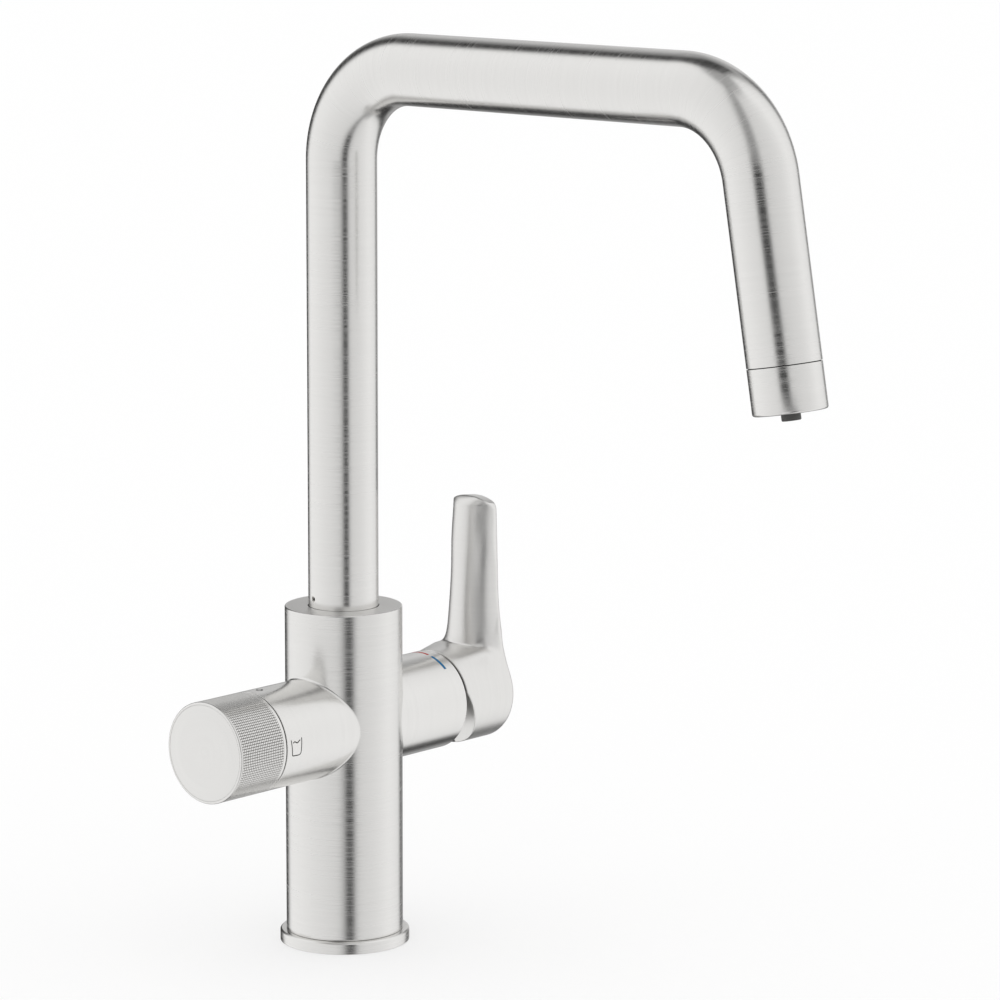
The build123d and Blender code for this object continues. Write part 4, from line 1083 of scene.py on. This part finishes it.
@dataclass(frozen=True)
class Marks:
    """What is printed on the two arms: where is hot, where is cold, and which side is filtered."""

    proud: float = 0.03     # the print's height
    stroke: float = 0.45
    step: float = 0.5
    arc_stroke: float = 1.35
    arc_x: float = 46.3
    hot: Point = (-13.5, 11.0)      # degrees from the arm's top towards the front
    cold: Point = (16.2, 41.0)
    glass: tuple[Point, ...] = ((-51.4, 3.4), (-50.8, -3.0), (-46.1, -3.2), (-45.5, 3.6))
    off_x: float = -48.5
    off_radius: float = 1.15
    off_stroke: float = 0.65

    def build(self) -> dict[str, list[bpy.types.Object]]:
        """Draw the marks and lay them on the arms.

        Returns:
            The red, blue and grey marks.
        """
        side = math.radians(90)
        low, high = self.glass[0][0] + 1.0, self.glass[-1][0] - 0.9
        wave = [(low + (high - low) * step / 24, 2.1 + 0.35 * math.sin(step / 24 * 2.6 * math.pi) + 0.3 * step / 24) for step in range(25)]
        ring = [(self.off_x + self.off_radius * math.cos(turn * math.tau / 32), self.off_radius * math.sin(turn * math.tau / 32))
                for turn in range(33)]
        outline = rounded_profile(self.glass, {1: 0.7, 2: 1.3}, 8)
        return {
            "red": [self.arc("hot_mark", self.hot)],
            "blue": [self.arc("cold_mark", self.cold)],
            "grey": [
                self.lay("glass_mark", outline, self.stroke, side),
                self.lay("glass_mark_water", wave, self.stroke, side),
                self.lay("off_mark", ring, self.off_stroke, 0.0)],
        }

    def arc(self, name: str, turns: Point) -> bpy.types.Object:
        """Draw a stroke round the lever's arm between two turns in degrees."""
        start, end = (math.radians(turn) * LAYOUT.arm_radius for turn in turns)
        line = [(self.arc_x, -(start + (end - start) * step / 24)) for step in range(25)]
        return self.lay(name, line, self.arc_stroke, 0.0)

    def divided(self, line: Sequence[Point]) -> list[Point]:
        """The same line with a point at least every step, so that it follows the arm's roundness."""
        made = [line[0]]
        for start, end in zip(line, line[1:]):
            count = max(1, math.ceil(math.dist(start, end) / self.step))
            made += [tuple(Vector(start).lerp(Vector(end), number / count)) for number in range(1, count + 1)]
        return made

    def lay(self, name: str, line: Sequence[Point], width: float, turn: float) -> bpy.types.Object:
        """Draw one flat stroke and wrap it round the arm.

        Args:
            name: The piece's name.
            line: Points along the arm and round it, in millimetres.
            width: The stroke's width in millimetres.
            turn: Where its middle lies, in radians from the arm's top towards the front.

        Returns:
            The mark.
        """
        deselect_all()
        line = self.divided(line)
        drawn = bpy.data.curves.new(name, "CURVE")
        drawn.dimensions = "3D"
        drawn.bevel_depth, drawn.bevel_resolution, drawn.use_fill_caps = width / 2 * MM, 2, True
        stroke = drawn.splines.new("POLY")
        stroke.points.add(len(line) - 1)
        for point, (along, round_arm) in zip(stroke.points, line):
            point.co = (along * MM, round_arm * MM, 0, 1)
        mark = bpy.data.objects.new(name, drawn)
        bpy.context.scene.collection.objects.link(mark)
        pick(mark)
        bpy.ops.object.convert(target="MESH")
        with editing(mark):
            bpy.ops.mesh.select_all(action="SELECT")
            bpy.ops.transform.resize(value=(1, 1, 2 * self.proud / width), center_override=(0, 0, 0))
            bpy.ops.mesh.normals_make_consistent(inside=False)
        for point in mark.data.vertices:
            radius = LAYOUT.arm_radius * MM + point.co.z
            angle = turn - point.co.y / (LAYOUT.arm_radius * MM)
            point.co = (point.co.x, -radius * math.sin(angle), LAYOUT.arm_z * MM + radius * math.cos(angle))
        bpy.ops.object.shade_smooth()
        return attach(mark, Body.FIXED.value)


@dataclass(frozen=True)
class PlainFinish:
    """An even finish with fine mottling, for the pieces inside and the small ones outside."""

    name: str
    colour: str
    metallic: float
    roughness: float
    grain_mm: float
    bump: float = 0.1
    specular: float = 0.5

    def material(self) -> bpy.types.Material:
        """Build the material.

        Returns:
            The finished material.
        """
        made = bpy.data.materials.new(self.name)
        made.use_nodes = True
        tree = made.node_tree
        tree.nodes.clear()
        place = add_node(tree, "ShaderNodeTexCoord")
        grain = add_node(tree, "ShaderNodeTexNoise", {
            "Vector": place.outputs["Object"], "Scale": 1 / (self.grain_mm * MM), "Detail": 3.0})
        tint = add_node(tree, "ShaderNodeValToRGB", {0: grain.outputs[0]})
        tint.color_ramp.elements[0].position = 0.3
        tint.color_ramp.elements[0].color = [c * 0.92 for c in srgb(self.colour)[:3]] + [1]
        tint.color_ramp.elements[1].position = 0.7
        tint.color_ramp.elements[1].color = srgb(self.colour)
        rough = add_node(tree, "ShaderNodeMapRange", {
            0: grain.outputs[0], 1: 0.3, 2: 0.7, 3: self.roughness - 0.04, 4: self.roughness + 0.04})
        bump = add_node(tree, "ShaderNodeBump", {
            "Height": grain.outputs[0], "Strength": self.bump, "Distance": 0.05 * MM})
        shader = add_node(tree, "ShaderNodeBsdfPrincipled", {
            "Base Color": tint.outputs[0], "Metallic": self.metallic, "Roughness": rough.outputs[0],
            "Specular IOR Level": self.specular, "Normal": bump.outputs[0]})
        add_node(tree, "ShaderNodeOutputMaterial", {0: shader.outputs[0]})
        return made


PLAIN_FINISHES = {
    Slot.BRUSHED_STEEL: PlainFinish("turned_stainless_steel", "e4e2df", 1.0, 0.24, 0.4),
    Slot.PLAIN_STEEL: PlainFinish("drawn_stainless_steel", "d6d4d0", 1.0, 0.3, 0.4),
    Slot.BRASS: PlainFinish("turned_brass", "dcc48a", 1.0, 0.28, 0.4),
    Slot.RUBBER: PlainFinish("moulded_nitrile_rubber", "2b2b2c", 0.0, 0.7, 0.3),
    Slot.WHITE_PLASTIC: PlainFinish("moulded_acetal", "e3e2de", 0.0, 0.45, 0.5),
    Slot.HOSE: PlainFinish("extruded_polyethylene", "e6e8e8", 0.0, 0.35, 0.8),
    Slot.DARK_PLASTIC: PlainFinish("moulded_dark_polymer", "565654", 0.0, 0.5, 0.4),
    Slot.CERAMIC: PlainFinish("lapped_alumina", "eeedea", 0.0, 0.2, 0.3),
}


HOT_PRINT = PlainFinish("red_printed_enamel", "bd4440", 0.0, 0.5, 0.3, specular=0.15)
COLD_PRINT = PlainFinish("blue_printed_enamel", "1b6c9c", 0.0, 0.5, 0.3, specular=0.15)
GREY_MARK = PlainFinish("laser_darkened_steel", "434341", 0.0, 0.55, 0.3, specular=0.1)


def main() -> None:
    """Build the tap's visible pieces and its studio."""
    logging.basicConfig(level=logging.INFO, format="%(name)s: %(message)s")
    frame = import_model()
    bpy.context.scene.view_settings.view_transform = "Standard"
    Camera().build()
    Studio().build()
    slots = {row["node"]: row["material_slot"] for row in frame["record"]["subparts"]}
    finishes = {slot.value: finish.material() for slot, finish in PLAIN_FINISHES.items()}
    for node in frame["nodes"].values():
        dress(node, finishes[slots[node.name]])
    tube_steel, arm_steel, lever_steel, matt_steel, painted_groove_shade = (
        steel.material() for steel in (TUBE_STEEL, ARM_STEEL, LEVER_STEEL, MATT_STEEL, PAINTED_GROOVE_SHADE_STEEL))
    spout, knob, body = Spout(), FilterKnob(), TapBody()
    for piece in (BaseRing().build(), spout.build_tube(), spout.build_sleeve()):
        dress(piece, tube_steel)
    band = knob.build_knurl()
    for piece in (knob.build(), band, knob.build_cap()):
        dress(piece, arm_steel)
    # painted shade on the sides of the knurl's small squares
    knob.paint_groove_shade(band, painted_groove_shade)
    for axis in (Axis.KNOB_ARM, Axis.LEVER_ARM):
        fillet = ArmFillet().build(axis)
        dress(fillet, arm_steel)
    column = body.build()
    dress(column, tube_steel)
    body.dress_parts(column, arm_steel, matt_steel)
    lever = Lever().build()
    dress(lever, lever_steel)
    washer = spout.build_gap_shade_ring()
    # dark rubber: the washer's own colour, and also painted shade in the gap above the sleeve
    dress(washer, finishes[Slot.RUBBER.value])
    nozzle = spout.build_nozzle()
    dress(nozzle, finishes[Slot.DARK_PLASTIC.value])
    prints = {"red": HOT_PRINT.material(), "blue": COLD_PRINT.material(), "grey": GREY_MARK.material()}
    for colour, marks in Marks().build().items():
        for mark in marks:
            dress(mark, prints[colour])


if __name__ == "__main__":
    main()
